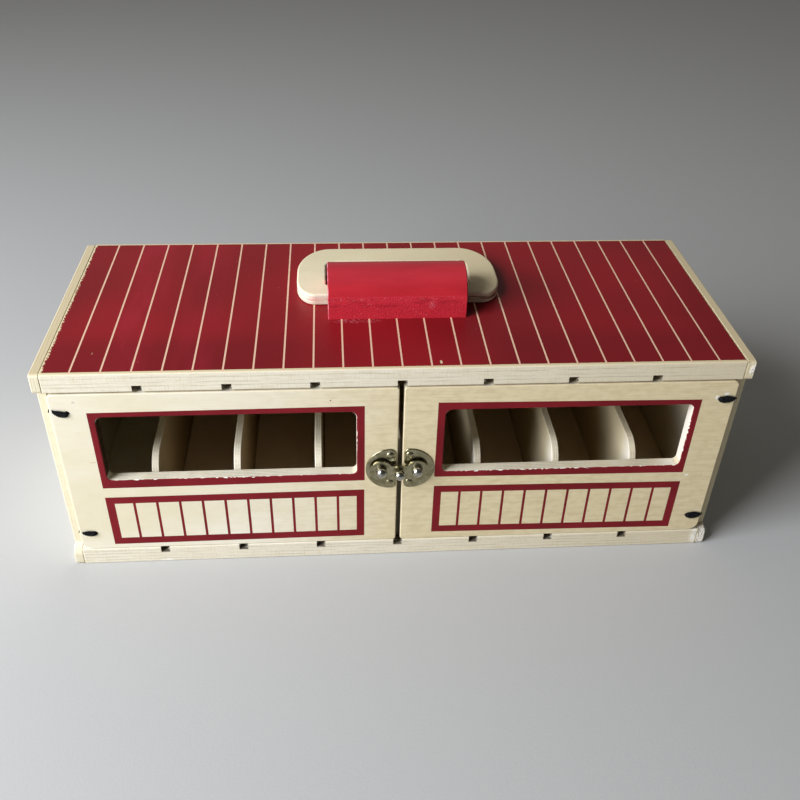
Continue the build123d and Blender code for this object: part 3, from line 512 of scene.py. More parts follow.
def roof_print(colours, sizes):
    """Red ink screened on birch plywood under a satin lacquer: deep red boards between bare lines, in
    broad soft clouds, with two bands of painted sheen at the left, painted shade along the front and in
    the grooves, pale nicks where it is scuffed and dust by the handle. The screen's tooth is drawn 0.9
    mm coarse, several times its real size, so that it shows."""
    material, tree, point, (x, y, z) = begin("screen_printed_birch_plywood_roof")
    depth = add(tree, "Math", {0: ROOF_HIGH[2], 1: z}, operation="SUBTRACT")
    wood, wood_height = board(tree, point, depth, ROOF_GLUE, 2, 0, colours, colours.veneer_warm)
    # painted shade in the grooves
    groove_shade = shaded_grooves(tree, x, z, ROOF_LOW[2] + 0.15, ROOF_LOW[2] + GROOVE_DEPTH + 0.1)
    wood = coats(tree, wood, (overlap(tree, groove_shade, 0.9), colours.shade_brown))

    left, right, front, back = ROOF_INK
    ragged = blotches(tree, point, 1.3, 0.3, 0.7, -0.8, 0.8, 4.0)
    torn_side = add(tree, "Math", {0: x, 1: ragged}, operation="ADD")
    top = facing(tree, *UP)
    lines = stripes(tree, x, sizes.stripe_pitch / MM, sizes.stripe_width / MM)
    wood = coats(tree, wood, (overlap(tree, lines, top, 0.8), colours.roof_line))
    printed = overlap(tree, panel(tree, x, y, (left - 2.0, right, front, back)),
                      band(tree, torn_side, left, right + 2.0))
    nicks = overlap(tree, specks(tree, point, 9.0, 0.34, 0.3), 0.45)
    scratch, gouge = (spot(tree, point, *place) for place in (ROOF_SCRATCH, ROOF_GOUGE))
    ink = overlap(tree, printed, top)
    for gap in (lines, overlap(tree, scratch, 0.4), gouge):
        ink = add(tree, "Math", {0: ink, 1: gap}, operation="SUBTRACT", use_clamp=True)

    pools = blotches(tree, point, (70.0, 90.0, 60.0), 0.32, 0.7, detail=1.0, shift=4.0)
    tooth = blotches(tree, point, 0.9, 0.3, 0.7, shift=2.0)
    faint = overlap(tree, tooth, blotches(tree, point, 14.0, 0.4, 0.7, 0.0, 0.22, shift=6.0))
    dust = overlap(tree, spot(tree, point, *ROOF_DUST),
                   blotches(tree, point, 1.3, 0.45, 0.72, 0.0, 0.6, 4.0, 8.0))
    streak = blotches(tree, point, (9.0, 45.0, 60.0), 0.35, 0.7, 0.1, 0.6, 3.0, 3.0)
    # painted sheen: two bands of reflected window light on the roof's left
    bright, weak = (band(tree, x, *place) for place in ROOF_SHEEN_X)
    sheen = add(tree, "Math", {0: weak, 1: 0.5, 2: bright}, operation="MULTIPLY_ADD")
    # painted shade along the roof's front, left out in the middle
    beside = add(tree, "Math", {0: 1.0, 1: band(tree, x, *ROOF_UNSHADED_X)}, operation="SUBTRACT")
    thick = overlap(tree, band(tree, y, *ROOF_SHADE_Y), beside, 0.7)
    red = coats(tree, colours.roof_red, (pools, colours.roof_red_dark), (faint, colours.roof_red_dark),
                (thick, colours.roof_red_shade), (overlap(tree, sheen, streak), colours.roof_painted_sheen),
                (nicks, colours.roof_nick), (dust, colours.roof_dust))
    colour = coats(tree, wood, (ink, red))
    gloss = add(tree, "Mix", {0: ink, 2: WOOD_ROUGHNESS, 3: 0.42})
    height = add(tree, "Mix", {0: ink, 2: wood_height, 3: tooth})
    return end(material, colour, gloss, height, 0.02, specular=0.18)


def window_distance(tree, across, z):
    """Distance in millimetres from a door's window opening, a rectangle with rounded corners:
    the length of what sticks out past the corner centres, less the corner's radius."""
    spread = []
    for value, start, stop in ((across, *WINDOW[:2]), (z, *WINDOW[2:])):
        off = add(tree, "Math", {0: value, 1: (start + stop) / 2}, operation="SUBTRACT")
        off = add(tree, "Math", {0: off}, operation="ABSOLUTE")
        off = add(tree, "Math", {0: off, 1: (stop - start) / 2 - WINDOW_R}, operation="SUBTRACT")
        spread.append(add(tree, "Math", {0: off, 1: 0.0}, operation="MAXIMUM"))
    corner = add(tree, "CombineXYZ", {0: spread[0], 1: spread[1]})
    length = add(tree, "VectorMath", {0: corner}, out="Value", operation="LENGTH")
    return add(tree, "Math", {0: length, 1: WINDOW_R}, operation="SUBTRACT")


def askew(tree, x, across, z):
    """Height on a door as its print sees it: each print was laid a little high or low, and turned
    a little about the door's middle."""
    right = add(tree, "Math", {0: x, 1: 0.0}, operation="GREATER_THAN")
    lift = []
    for left_value, right_value in zip(LEFT_ASKEW, RIGHT_ASKEW):
        lift.append(add(tree, "Mix", {0: right, 2: left_value, 3: right_value}))
    out = add(tree, "Math", {0: across, 1: PRINT_MIDDLE}, operation="SUBTRACT")
    turned = add(tree, "Math", {0: out, 1: lift[1], 2: lift[0]}, operation="MULTIPLY_ADD")
    return add(tree, "Math", {0: z, 1: turned}, operation="SUBTRACT")


def door_print(colours, sizes):
    """Red ink screened on the doors' birch plywood: a frame round each window, a barred panel below, and
    white torn fibres where the router left the window's edge; painted shade towards the right and on the
    left window's left jamb, and a painted highlight on the right window's right jamb."""
    material, tree, point, (x, y, z) = begin("screen_printed_birch_plywood_doors")
    depth = add(tree, "Math", {0: y, 1: DOOR_LOW[1]}, operation="SUBTRACT")
    wood, wood_height = board(tree, point, depth, DOOR_GLUE, 1, 0, colours, line_shade=0.45)
    front = facing(tree, 1, -1.1, -0.35)
    # painted shade: the veneer is painted warmer and darker towards the right, where the light falls off
    start, stop = DOOR_SHADE_X
    rightward_shade = add(tree, "MapRange", {"Value": x, "From Min": start, "From Max": stop, "To Max": 0.85},
                 interpolation_type="SMOOTHSTEP")
    rightward_shade = overlap(tree, rightward_shade, front)
    streaks = blotches(tree, point, (22.0, 1.0, 0.9), 0.42, 0.75, 0.0, 0.3, 4.0, 12.0)
    mottle = blotches(tree, point, (7.0, 4.0, 3.5), 0.38, 0.7, 0.0, 0.34, 5.0, 15.0)
    streaks, mottle = overlap(tree, rightward_shade, streaks), overlap(tree, rightward_shade, mottle)
    wood = coats(tree, wood, (rightward_shade, colours.veneer_warm), (streaks, colours.pore),
                 (mottle, colours.pore))
    across = add(tree, "Math", {0: x}, operation="ABSOLUTE")
    away = window_distance(tree, across, z)

    jamb = overlap(tree, band(tree, away, -1.0, 0.05), facing(tree, 1, -0.5, 0.5, 0.2))
    # painted highlight on the right window's right jamb, which faces the light
    lit_jamb = overlap(tree, jamb, band(tree, x, WINDOW[1] - 1.0, WINDOW[1] + 9.0, 16.0), 0.7)
    # painted shade on the left window's left jamb, which faces away from the light
    shaded_jamb = overlap(tree, jamb, band(tree, x, -WINDOW[1] - 1.0, -WINDOW[1] + 0.4, 0.3))
    wood = coats(tree, wood, (lit_jamb, colours.torn_fibre_and_highlight), (shaded_jamb, colours.shade_brown))
    marks = [(place, linear(shade)) for *place, shade in DOOR_STAINS]
    marks += [(place, colours.torn_fibre_and_highlight) for place in DOOR_CHIPS]
    for (mark_x, mark_z, wide, tall), shade in marks:
        here = spot(tree, point, (mark_x, DOOR_LOW[1], mark_z), (wide, 1.0, tall))
        wood = coats(tree, wood, (here, shade))

    level = askew(tree, x, across, z)
    bars = stripes(tree, across, sizes.bar_pitch / MM, sizes.bar_width / MM, BAR_FIRST)
    hollow = add(tree, "Math", {0: panel(tree, across, level, PANEL_BARE), 1: bars},
                 operation="SUBTRACT", use_clamp=True)
    barred = add(tree, "Math", {0: panel(tree, across, level, PANEL_PRINT), 1: hollow},
                 operation="SUBTRACT", use_clamp=True)
    ink = add(tree, "Math", {0: panel(tree, across, level, FRAME_PRINT), 1: barred}, operation="MAXIMUM")
    ink = overlap(tree, ink, front)

    right_jamb = band(tree, x, WINDOW[1] - 2.0, WINDOW[1] + 9.0, 2.0)
    left_inner = band(tree, x, -WINDOW[0] - 1.0, -WINDOW[0] + 3.0, 1.0)
    sill = band(tree, z, WINDOW[2] - 3.0, WINDOW[2] + 0.3, 0.6)
    left_reach, right_reach = SILL_CHIP_REACH
    frayed = add(tree, "MapRange", {"Value": x, "From Min": -10.0, "From Max": 10.0,
                                    "To Min": left_reach, "To Max": right_reach})
    reach = add(tree, "Math", {0: overlap(tree, right_jamb, 0.45), 1: overlap(tree, left_inner, 0.3)},
                operation="ADD")
    reach = add(tree, "Math", {0: sill, 1: frayed, 2: reach}, operation="MULTIPLY_ADD")
    torn = blotches(tree, point, (3.4, 1.0, 2.2), 0.45, 0.68, 0.0, 1.0, 5.0, 6.0)
    stretch = blotches(tree, point, (24.0, 8.0, 20.0), 0.38, 0.62, 0.25, 1.15, 1.0, 2.0)
    reach = add(tree, "Math", {0: reach, 1: overlap(tree, torn, stretch), 2: 0.02},
                operation="MULTIPLY_ADD")
    few = overlap(tree, specks(tree, point, 7.0, 0.4, 0.25), band(tree, away, -0.5, 0.5, 0.3))
    chips = add(tree, "Math", {0: away, 1: reach}, operation="LESS_THAN")
    chips = overlap(tree, add(tree, "Math", {0: chips, 1: few}, operation="MAXIMUM"), front)

    wear = blotches(tree, point, (30.0, 30.0, 22.0), 0.3, 0.7, shift=8.0)
    red = coats(tree, colours.door_red, (wear, colours.door_red_dark))
    colour = coats(tree, wood, (ink, red), (chips, colours.torn_fibre_and_highlight))
    gloss = add(tree, "Mix", {0: ink, 2: 0.5, 3: 0.48})
    return end(material, colour, gloss, wood_height, 0.02, specular=0.14)


def bracket_paint(colours):
    """Red enamel brushed on beech: smooth over the rounded top, with a painted sheen along the crest,
    and grainy, scuffed and speckled where the sawn front stands straight; a pale painted highlight runs
    down the left arris. The grain stands 0.8 mm apart and the specks are 0.5 mm across, as on sawn
    beech."""
    material, tree, point, (x, _, z) = begin("brushed_enamel_on_beech")
    low = band(tree, z, BRACKET_LOW[2] - 1.0, SHOULDER_Z, 1.2)
    straight = overlap(tree, low, facing(tree, *FRONT, 0.3))
    brush = blotches(tree, point, (30.0, 7.0, 7.0), 0.35, 0.75, 0.0, 0.55, 3.0, 3.0)
    grit = blotches(tree, point, 0.8, 0.36, 0.68, 0.0, 1.0, 5.0, 5.0)
    flecks = overlap(tree, specks(tree, point, 1.9, 0.25, 0.35), straight)
    shoulder = band(tree, z, SHOULDER_Z - 1.4, SHOULDER_Z + 0.4, 0.8)
    scrapes = blotches(tree, point, (2.4, 0.8, 0.8), 0.55, 0.72, 0.0, 0.3, 4.0, 1.0)
    scrapes = overlap(tree, shoulder, scrapes, facing(tree, 1, -1.1, -0.3))
    scuff = overlap(tree, spot(tree, point, *BLOCK_SCUFF),
                    blotches(tree, point, 0.8, 0.45, 0.7, 0.0, 0.6, 4.0, 3.0))
    # painted highlight down the left edge, which faces the light
    arris = overlap(tree, band(tree, x, BRACKET_LOW[0] - 1.0, BRACKET_LOW[0] + 0.35, 0.3),
                    blotches(tree, point, (3.0, 3.0, 6.0), 0.35, 0.6, 0.15, 0.9))
    # painted sheen along the crest, where the top reflects the sky
    crest = BRACKET_HIGH[2]
    crest_sheen = {"Value": z, "From Min": crest - 9.0, "From Max": crest, "To Max": 0.3}
    crest_sheen = add(tree, "MapRange", crest_sheen, interpolation_type="SMOOTHSTEP")
    patches = overlap(tree, band(tree, z, SHOULDER_Z - 4.8, SHOULDER_Z - 0.7, 1.5), straight,
                      blotches(tree, point, (11.0, 4.0, 2.2), 0.45, 0.62, 0.0, 0.5, 5.0, 11.0))
    shade = overlap(tree, straight, grit, 0.65)
    colour = coats(tree, colours.handle_red, (brush, colours.handle_red_dark),
                   (crest_sheen, colours.handle_sheen), (straight, colours.handle_red_raw),
                   (shade, colours.handle_red_dark), (patches, colours.handle_patch),
                   (flecks, colours.handle_fleck), (scrapes, colours.handle_scrape),
                   (arris, colours.handle_arris_highlight), (scuff, colours.handle_scuff))
    height = add(tree, "Mix", {0: straight, 2: brush, 3: grit})
    gloss = add(tree, "Mix", {0: straight, 2: 0.4, 3: 0.6})
    return end(material, colour, gloss, height, 0.08, specular=0.22)


def stamped_nickel(name, bright, dull, roughness):
    """Nickel flashed on stamped brass, gone olive with handling: a mirror with a faint haze, and
    1.6 mm dents, under a hundredth of a millimetre deep, from the stamping."""
    material, tree, point, _ = begin(name)
    haze = blotches(tree, point, 4.0, 0.35, 0.7, detail=4.0)
    gloss = blotches(tree, point, 2.5, 0.3, 0.75, roughness, roughness + 0.1, 3.0, 2.0)
    colour = coats(tree, bright, (haze, dull))
    dents = blotches(tree, point, 1.6, 0.3, 0.7)
    return end(material, colour, gloss, dents, 0.008, metallic=1.0)


def zinc_steel(colours):
    """Zinc-plated steel, cold-headed: grey and slightly dull, with a bloom in patches of 1.5 mm."""
    material, tree, point, _ = begin("zinc_plated_steel")
    bloom = blotches(tree, point, 1.5, 0.3, 0.7, detail=4.0)
    dull = blotches(tree, point, 1.0, 0.3, 0.7, 0.35, 0.55, shift=3.0)
    colour = coats(tree, colours.zinc, (bloom, colours.zinc_dull))
    return end(material, colour, dull, bloom, 0.01, metallic=1.0)


def braided_polyester(colours):
    """Black braided polyester: matt, with a faint grey painted highlight on top of each 0.4 mm yarn."""
    material, tree, point, _ = begin("braided_polyester")
    # painted highlight on top of each yarn
    yarn = blotches(tree, point, (0.4, 0.4, 0.25), 0.5, 0.75)
    colour = coats(tree, colours.cord_black, (yarn, colours.cord_yarn_highlight))
    return end(material, colour, 0.85, yarn, 0.08, specular=0.15)


def dried_glue(colours):
    """Wood glue dried in the joints: tan, nearly flush and slightly glossy, in 3 mm clouds."""
    material, tree, point, _ = begin("dried_wood_glue")
    skin = blotches(tree, point, 3.0)
    colour = coats(tree, colours.ply_edge_tan, (skin, colours.veneer_tan))
    return end(material, colour, 0.5, skin, 0.02, specular=0.3)


def torn_wood_fibre(colours):
    """Split birch fibres, unfinished: dry, off-white and matt, mottled every 0.6 mm."""
    material, tree, point, _ = begin("split_birch_fibre")
    dry = blotches(tree, point, 0.6)
    colour = coats(tree, colours.torn_fibre_and_highlight, (dry, colours.ply_edge))
    return end(material, colour, 0.9, dry, 0.05)


def studio_floor(colours):
    """Matt paper sweep: plain and pale. Its tooth is drawn 1.5 mm coarse so that it shows."""
    material, tree, point, _ = begin("matt_paper_floor")
    tooth = blotches(tree, point, 1.5)
    return end(material, colours.floor, 0.9, tooth, 0.02, specular=0.2)


# ---------------------------------------------------------------- surfaces
def piece(name, grids, material):
    """One mesh from grids of points in millimetres, each rows by columns by 3. The columns close
    on themselves, and a first or last row at one place is a closed pole."""
    verts, faces, count = [], [], 0
    for grid in grids:
        rows, columns = grid.shape[:2]
        number = count + np.arange(rows * columns).reshape(rows, columns)
        after = np.roll(number, -1, axis=1)
        quads = np.stack([number[:-1], after[:-1], after[1:], number[1:]], axis=-1)
        verts.append(grid.reshape(-1, 3))
        faces.append(quads.reshape(-1, 4))
        count += rows * columns
    mesh = bpy.data.meshes.new(name)
    mesh.from_pydata(np.concatenate(verts) * MM, [], np.concatenate(faces).tolist())
    shape = bmesh.new()
    shape.from_mesh(mesh)
    bmesh.ops.remove_doubles(shape, verts=shape.verts, dist=1e-7)
    bmesh.ops.recalc_face_normals(shape, faces=shape.faces)
    shape.to_mesh(mesh)
    shape.free()
    mesh.polygons.foreach_set("use_smooth", np.ones(len(mesh.polygons), bool))
    mesh.materials.append(material)
    made = bpy.data.objects.new(name, mesh)
    bpy.context.scene.collection.objects.link(made)
    return made


def slab(low, high):
    """A box as four long edges along y, which meet in a pole at the middle of each end."""
    across = np.array([[0.5] * 4, [0, 1, 1, 0], [0, 1, 1, 0], [0.5] * 4])
    up = np.array([[0.5] * 4, [0, 0, 1, 1], [0, 0, 1, 1], [0.5] * 4])
    along = np.repeat([[0], [0], [1], [1]], 4, axis=1)
    return np.array(low) + (np.array(high) - np.array(low)) * np.stack([across, along, up], axis=-1)


def ramp(values, start, stop):
    """0 up to start, 1 from stop on and a straight line between; start may be the greater."""
    return np.clip((values - start) / (stop - start), 0, 1)


def blended_line(points, count):
    """Quadratic B-spline: each stretch blends three neighbouring points, so it passes through the
    middles of the runs and through both ends, which are doubled."""
    hand = np.array([points[0], *points, points[-1]], float)
    along = np.linspace(0, len(hand) - 2, count)
    first = np.minimum(along.astype(int), len(hand) - 3)
    t = (along - first)[:, None]
    before, middle, after = (hand[first + step] for step in range(3))
    return ((1 - t) ** 2 * before + (1 + 2 * t - 2 * t**2) * middle + t**2 * after) / 2


def unit(vectors):
    """Vectors of length 1."""
    return vectors / np.linalg.norm(vectors, axis=-1, keepdims=True)


def braid(line, sideways, half_thick, half_wide, strands, lay, columns=48):
    """A braided cord carried along a line: an ellipse in each cross-section, swelled where two
    families of strands, wound left and right, cross over each other; its ends taper to poles."""
    heading = unit(np.gradient(line, axis=0))
    wide = unit(sideways - np.sum(sideways * heading, axis=1, keepdims=True) * heading)
    thick = np.cross(heading, wide)
    distance = np.concatenate([[0], np.cumsum(np.linalg.norm(np.diff(line, axis=0), axis=1))])
    turn = np.linspace(0, 2 * np.pi, columns, endpoint=False)[None, :]
    wound = 2 * np.pi * distance[:, None] / lay
    left, right = strands / 2 * turn + wound, strands / 2 * turn - wound
    over = np.maximum(np.abs(np.cos(left) * np.cos(right)), np.abs(np.sin(left) * np.sin(right)))
    swell = BRAID_VALLEY + BRAID_SWELL * over
    rows = np.linspace(0, 1, len(line))
    tip = np.sqrt(ramp(np.minimum(rows, 1 - rows), 0, BRAID_TIP))[:, None]
    lift = (half_thick[:, None] * np.cos(turn) * swell * tip)[..., None] * thick[:, None]
    spread = (half_wide[:, None] * np.sin(turn) * swell * tip)[..., None] * wide[:, None]
    return line[:, None] + lift + spread


def overhand_knot(centre, axis, radius, thickness, cord):
    """A pulled-tight knot: a trefoil, two turns round its centre with three lobes, lying in the
    plane across the axis, drawn with a round braid."""
    t = np.linspace(0, 2 * np.pi, 241)
    flat = (radius - cord) / 3
    around = flat * (np.sin(t) + 2 * np.sin(2 * t))
    up = flat * (np.cos(t) - 2 * np.cos(2 * t))
    rise = -(thickness / 2 - cord) * np.sin(3 * t)
    line = np.stack([rise, around, up], axis=1) if axis == 0 else np.stack([around, rise, up], axis=1)
    size = np.full(len(t), cord)
    sideways = line + [1e-4, 2e-4, 1e-4]
    return braid(line + centre, sideways, size, size, BRAID_STRANDS, KNOT_LAY, 20)


def fibres(roots, directions, lengths, seed):
    """Torn fibres: each is a three-sided spike that leaves its root along its direction, bends
    sideways with the square of the distance and narrows to a point."""
    rng = np.random.default_rng(seed)
    count, steps = len(roots), 5
    t = np.linspace(0, 1, steps)[None, :, None]
    aim = unit(directions + rng.normal(0, 0.35, (count, 3)))[:, None]
    sway = rng.normal(0, 0.3, (count, 1, 3))
    line = roots[:, None] + lengths[:, None, None] * (aim * t + sway * t**2)
    side = unit(np.cross(aim[:, 0], rng.normal(0, 1, (count, 3))))[:, None]
    other = np.cross(aim, side)
    turn = 2 * np.pi * np.arange(3) / 3
    ring = side[:, :, None] * np.cos(turn)[:, None] + other[:, :, None] * np.sin(turn)[:, None]
    return list(line[:, :, None] + FIBRE_R * (1 - t[..., None]) * ring)


# ---------------------------------------------------------------- settings
def measure(name, description, size_mm, low_mm, high_mm=10000.0):
    """A length setting with its default, least and greatest values given in millimetres."""
    return bpy.props.FloatProperty(
        name=name, description=description, default=size_mm * MM, min=low_mm * MM, max=high_mm * MM,
        subtype="DISTANCE", unit="LENGTH")


class StableSizes(bpy.types.PropertyGroup):
    """Sizes a user may change."""
    stripe_pitch: measure("Roof stripe pitch", "Distance between the bare lines on the roof", 16.0, 4.0)
    stripe_width: measure("Roof stripe width", "Width of a bare line on the roof", 0.9, 0.2)
    bar_pitch: measure("Door bar pitch", "Distance between the printed bars below a window", 13.2, 4.0)
    bar_width: measure("Door bar width", "Width of a printed bar", 1.5, 0.4)
    plate_dome: measure(
        "Clasp plate dome", "How high a clasp plate's dome stands over its rim", 0.5, 0.0, 0.8)
    cord_width: measure("Hinge cord width", "Width of the flattened cord on the door", 4.2, 2.0)
    fibre_length: measure(
        "Torn fibre length", "Mean length of the split fibres at the groove ends", 1.2, 0.3)
    floor_size: measure("Floor size", "Side of the square floor", 8000.0, 1000.0)


def tint(name, description, hex_colour):
    """A colour setting with its default given in sRGB hex."""
    return bpy.props.FloatVectorProperty(
        name=name, description=description, default=linear(hex_colour), size=4, min=0.0, max=1.0,
        subtype="COLOR")


class StableColours(bpy.types.PropertyGroup):
    """Colours a user may change."""
    veneer: tint("Veneer", "Face veneer of the plywood", "#F2ECDB")
    veneer_tan: tint("Veneer, tan", "Streaks and clouds in the veneer", "#DCCFA6")
    # also painted shade on the doors towards the right
    veneer_warm: tint("Veneer, warm", "Veneer of the right-hand door", "#DFCFA5")
    ring_veneer: tint("Veneer, ring", "Veneer of the carry ring", "#FCF0CE")
    # painted shade at the ring's right end
    ring_veneer_shade: tint("Veneer, ring's tan end", "The ring's veneer at its right end", "#E2D1A8")
    divider_veneer: tint("Veneer, dividers", "Veneer of the dividers", "#DCCCAB")
    # painted light on the back's inner face in the stall at the left end
    back_light: tint("Sapwood", "Pale wood at the back's left end", "#FBF3E0")
    inner_veneer: tint("Veneer, inner", "Unsorted veneer inside and behind the box", "#DEB98A")
    # painted shade in the middle of the back's inner face
    back_shade: tint("Heartwood", "Brown wood in the back's middle", "#916B45")
    # painted shade on the floor inside the box
    stall_floor_shade: tint("Veneer, stall floor", "Bare veneer of the base inside the box", "#E3CCAD")
    # painted shade deep inside the box and on the dividers' right faces
    shade_veneer: tint("Veneer, aged", "Bare veneer deep inside the box", "#A98F68")
    wall_top: tint("Veneer, wall top", "Top edge of the end walls", "#D2C096")
    brown_ply: tint("Brown ply", "Brown middle ply in the ring's edge", "#6E4F35")
    pore: tint("Pore", "Fine pores in the veneer", "#BFA878")
    ply_edge: tint("Ply edge", "Plies cut along the grain", "#EAE3CE")
    # also painted shade on the sawn edges towards the right
    ply_edge_tan: tint("Ply edge, tan", "Plies cut across the grain", "#CDBB93")
    glue_line: tint("Glue line", "Glue between the plies", "#7E7462")
    # painted shade: in the grooves, on the left window's left jamb and on the middle divider's front
    # edge
    shade_brown: tint("Burnt wood", "Wood browned by the router bit", "#3A2917")
    # split wood, and also a painted highlight on the dividers' left faces and the right window's right
    # jamb
    torn_fibre_and_highlight: tint("Torn fibre", "Split wood at chipped edges", "#F6F1E4")
    roof_red: tint("Roof red", "Ink on the roof", "#921820")
    roof_red_dark: tint("Roof red, dark", "Ink where the lacquer pooled", "#7E161C")
    # painted shade along the roof's front
    roof_red_shade: tint("Roof red, thick", "Thick ink along the roof's front", "#75131A")
    # painted sheen: reflected window light on the roof
    roof_painted_sheen: tint("Roof sheen", "Ink where the lacquer is thin", "#A22031")
    roof_line: tint("Roof line", "Bare lines, stained by the ink beside them", "#EDC0A4")
    roof_nick: tint("Roof nick", "Small nicks in the ink", "#CF9A94")
    roof_dust: tint("Roof dust", "Dust along the handle's block", "#C07F88")
    door_red: tint("Door red", "Ink on the doors", "#7F1B22")
    door_red_dark: tint("Door red, dark", "Thicker ink on the doors", "#72161D")
    handle_red: tint("Handle red", "Enamel on the handle's block", "#B9252F")
    handle_red_dark: tint("Handle red, dark", "Enamel where it is thick", "#A21D28")
    handle_red_raw: tint("Handle red, raw", "Enamel on the block's sawn front", "#CD2B3A")
    # painted sheen along the block's crest
    handle_sheen: tint("Handle crown", "Enamel along the block's crest", "#BE444D")
    handle_patch: tint("Handle patch", "Dark patches under the block's shoulder", "#90141F")
    handle_fleck: tint("Handle fleck", "Flecks on the block's front", "#D0707A")
    handle_scrape: tint("Handle scrape", "Scrapes along the block's shoulder", "#CB6C74")
    # painted highlight down the block's left edge
    handle_arris_highlight: tint("Handle arris", "Enamel worn thin at the block's left edge", "#D9929C")
    handle_scuff: tint("Handle scuff", "Scuff at the right of the block's front", "#E08E96")
    rubbed_enamel: tint("Rubbed enamel", "Enamel rubbed off on the ring", "#E09A8E")
    nickel: tint("Nickel", "Clasp metal", "#ABA487")
    nickel_olive: tint("Nickel, olive", "Clasp metal where it is tarnished", "#8A8463")
    polished: tint("Polished nickel", "Rivet, post, knob and nail heads", "#BEBDB4")
    polished_dull: tint("Polished nickel, dull", "The heads where they are hazy", "#98968A")
    zinc: tint("Zinc", "Nails and screws", "#A9A9A6")
    zinc_dull: tint("Zinc, dull", "Their dull bloom", "#7F807E")
    cord_black: tint("Cord black", "Braided hinge cords", "#08080A")
    # painted highlight on top of each yarn
    cord_yarn_highlight: tint("Cord yarn", "Top of each yarn in the braid", "#3A3C42")
    floor: tint("Floor", "Plain studio floor", "#BDBDBA")
    sky: tint("Sky", "Colour of the room's light", "#F1ECE4")
    lamp: tint("Lamp", "Colour of the window's light", "#F4F7FF")


# ---------------------------------------------------------------- operators
def dress(names, material):
    """Give CAD nodes a material in all their slots."""
    for name in names:
        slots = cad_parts[name].material_slots
        if not slots:
            raise RuntimeError(f"{name} has no material slot to fill")
        for slot in slots:
            slot.material = material


class STABLE_OT_carcass(bpy.types.Operator):
    """Sanded birch plywood on the carcass and dividers, and the roof's printed boards"""
    bl_idname = "stable.carcass"
    bl_label = "Carcass and roof print"

    def execute(self, context):
        colours, sizes = context.scene.stable_colours, context.scene.stable_sizes
        dress(["roof_panel"], roof_print(colours, sizes))
        dress(["base_panel"], base_plywood(colours))
        dress(["back_panel"], back_plywood(colours))
        dress(["end_wall_left", "end_wall_right"], torn_plywood_wall(colours))
        dividers = [f"stall_divider_{k}" for k in range(1, DIVIDER_COUNT + 1)]
        dress(dividers, divider_plywood(colours))
        dress(["wall_nails_left", "wall_nails_right", "bracket_screws"], zinc_steel(colours))
        return {"FINISHED"}


class STABLE_OT_joints(bpy.types.Operator):
    """Dried glue between the end walls and the roof and base boards"""
    bl_idname = "stable.joints"
    bl_label = "Glued joints"

    def execute(self, context):
        strips = []
        for low, high in ((ROOF_LOW, ROOF_HIGH), (BASE_LOW, BASE_HIGH)):
            inner = np.array([high[0], low[1] + GLUE_RECESS, low[2] + GLUE_RECESS])
            outer = np.array([WALL_LOW[0], high[1] - GLUE_RECESS, high[2] - GLUE_RECESS])
            right = slab(inner, outer)
            strips += [right, right * [-1, 1, 1]]
        made = piece("glued_joints", strips, dried_glue(context.scene.stable_colours))
        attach(made, "box")
        return {"FINISHED"}


class STABLE_OT_doors(bpy.types.Operator):
    """Printed birch plywood on both doors"""
    bl_idname = "stable.doors"
    bl_label = "Doors' print"

    def execute(self, context):
        material = door_print(context.scene.stable_colours, context.scene.stable_sizes)
        dress(["door_left", "door_right"], material)
        return {"FINISHED"}


class STABLE_OT_handle(bpy.types.Operator):
    """Red enamel on the handle's block and bare plywood on its ring"""
    bl_idname = "stable.handle"
    bl_label = "Carry handle"

    def execute(self, context):
        colours = context.scene.stable_colours
        dress(["handle_bracket"], bracket_paint(colours))
        dress(["handle_ring"], ring_plywood(colours))
        return {"FINISHED"}


def moon_reach(angles):
    """How far a right-hand clasp plate reaches from (PLATE_CENTRE, 0) at each angle: the farthest
    point along the ray that is in the half ellipse, either lobe or the infill, and not in the
    bite."""
    near, far, half = PLATE_LOW[0], PLATE_HIGH[0], (PLATE_HIGH[2] - PLATE_LOW[2]) / 2
    steps = np.linspace(0, PLATE_SEARCH, PLATE_STEPS)[None, :]
    x = PLATE_CENTRE + steps * np.cos(angles)[:, None]
    z = steps * np.sin(angles)[:, None]
    lobe_x, lobe_z = near + PLATE_LOBE_R, half - PLATE_LOBE_R
    moon = ((x - lobe_x) / (far - lobe_x)) ** 2 + (z / half) ** 2 < 1
    moon &= x > lobe_x
    moon |= (x - lobe_x) ** 2 + (np.abs(z) - lobe_z) ** 2 < PLATE_LOBE_R**2
    moon |= (x > near) & (x <= lobe_x) & (np.abs(z) < lobe_z)
    bite_x = near - math.sqrt(PLATE_BITE_R**2 - PLATE_BITE_HALF_H**2)
    moon &= (x - bite_x) ** 2 + z**2 > PLATE_BITE_R**2
    return np.max(np.where(moon, steps, 0), axis=1)


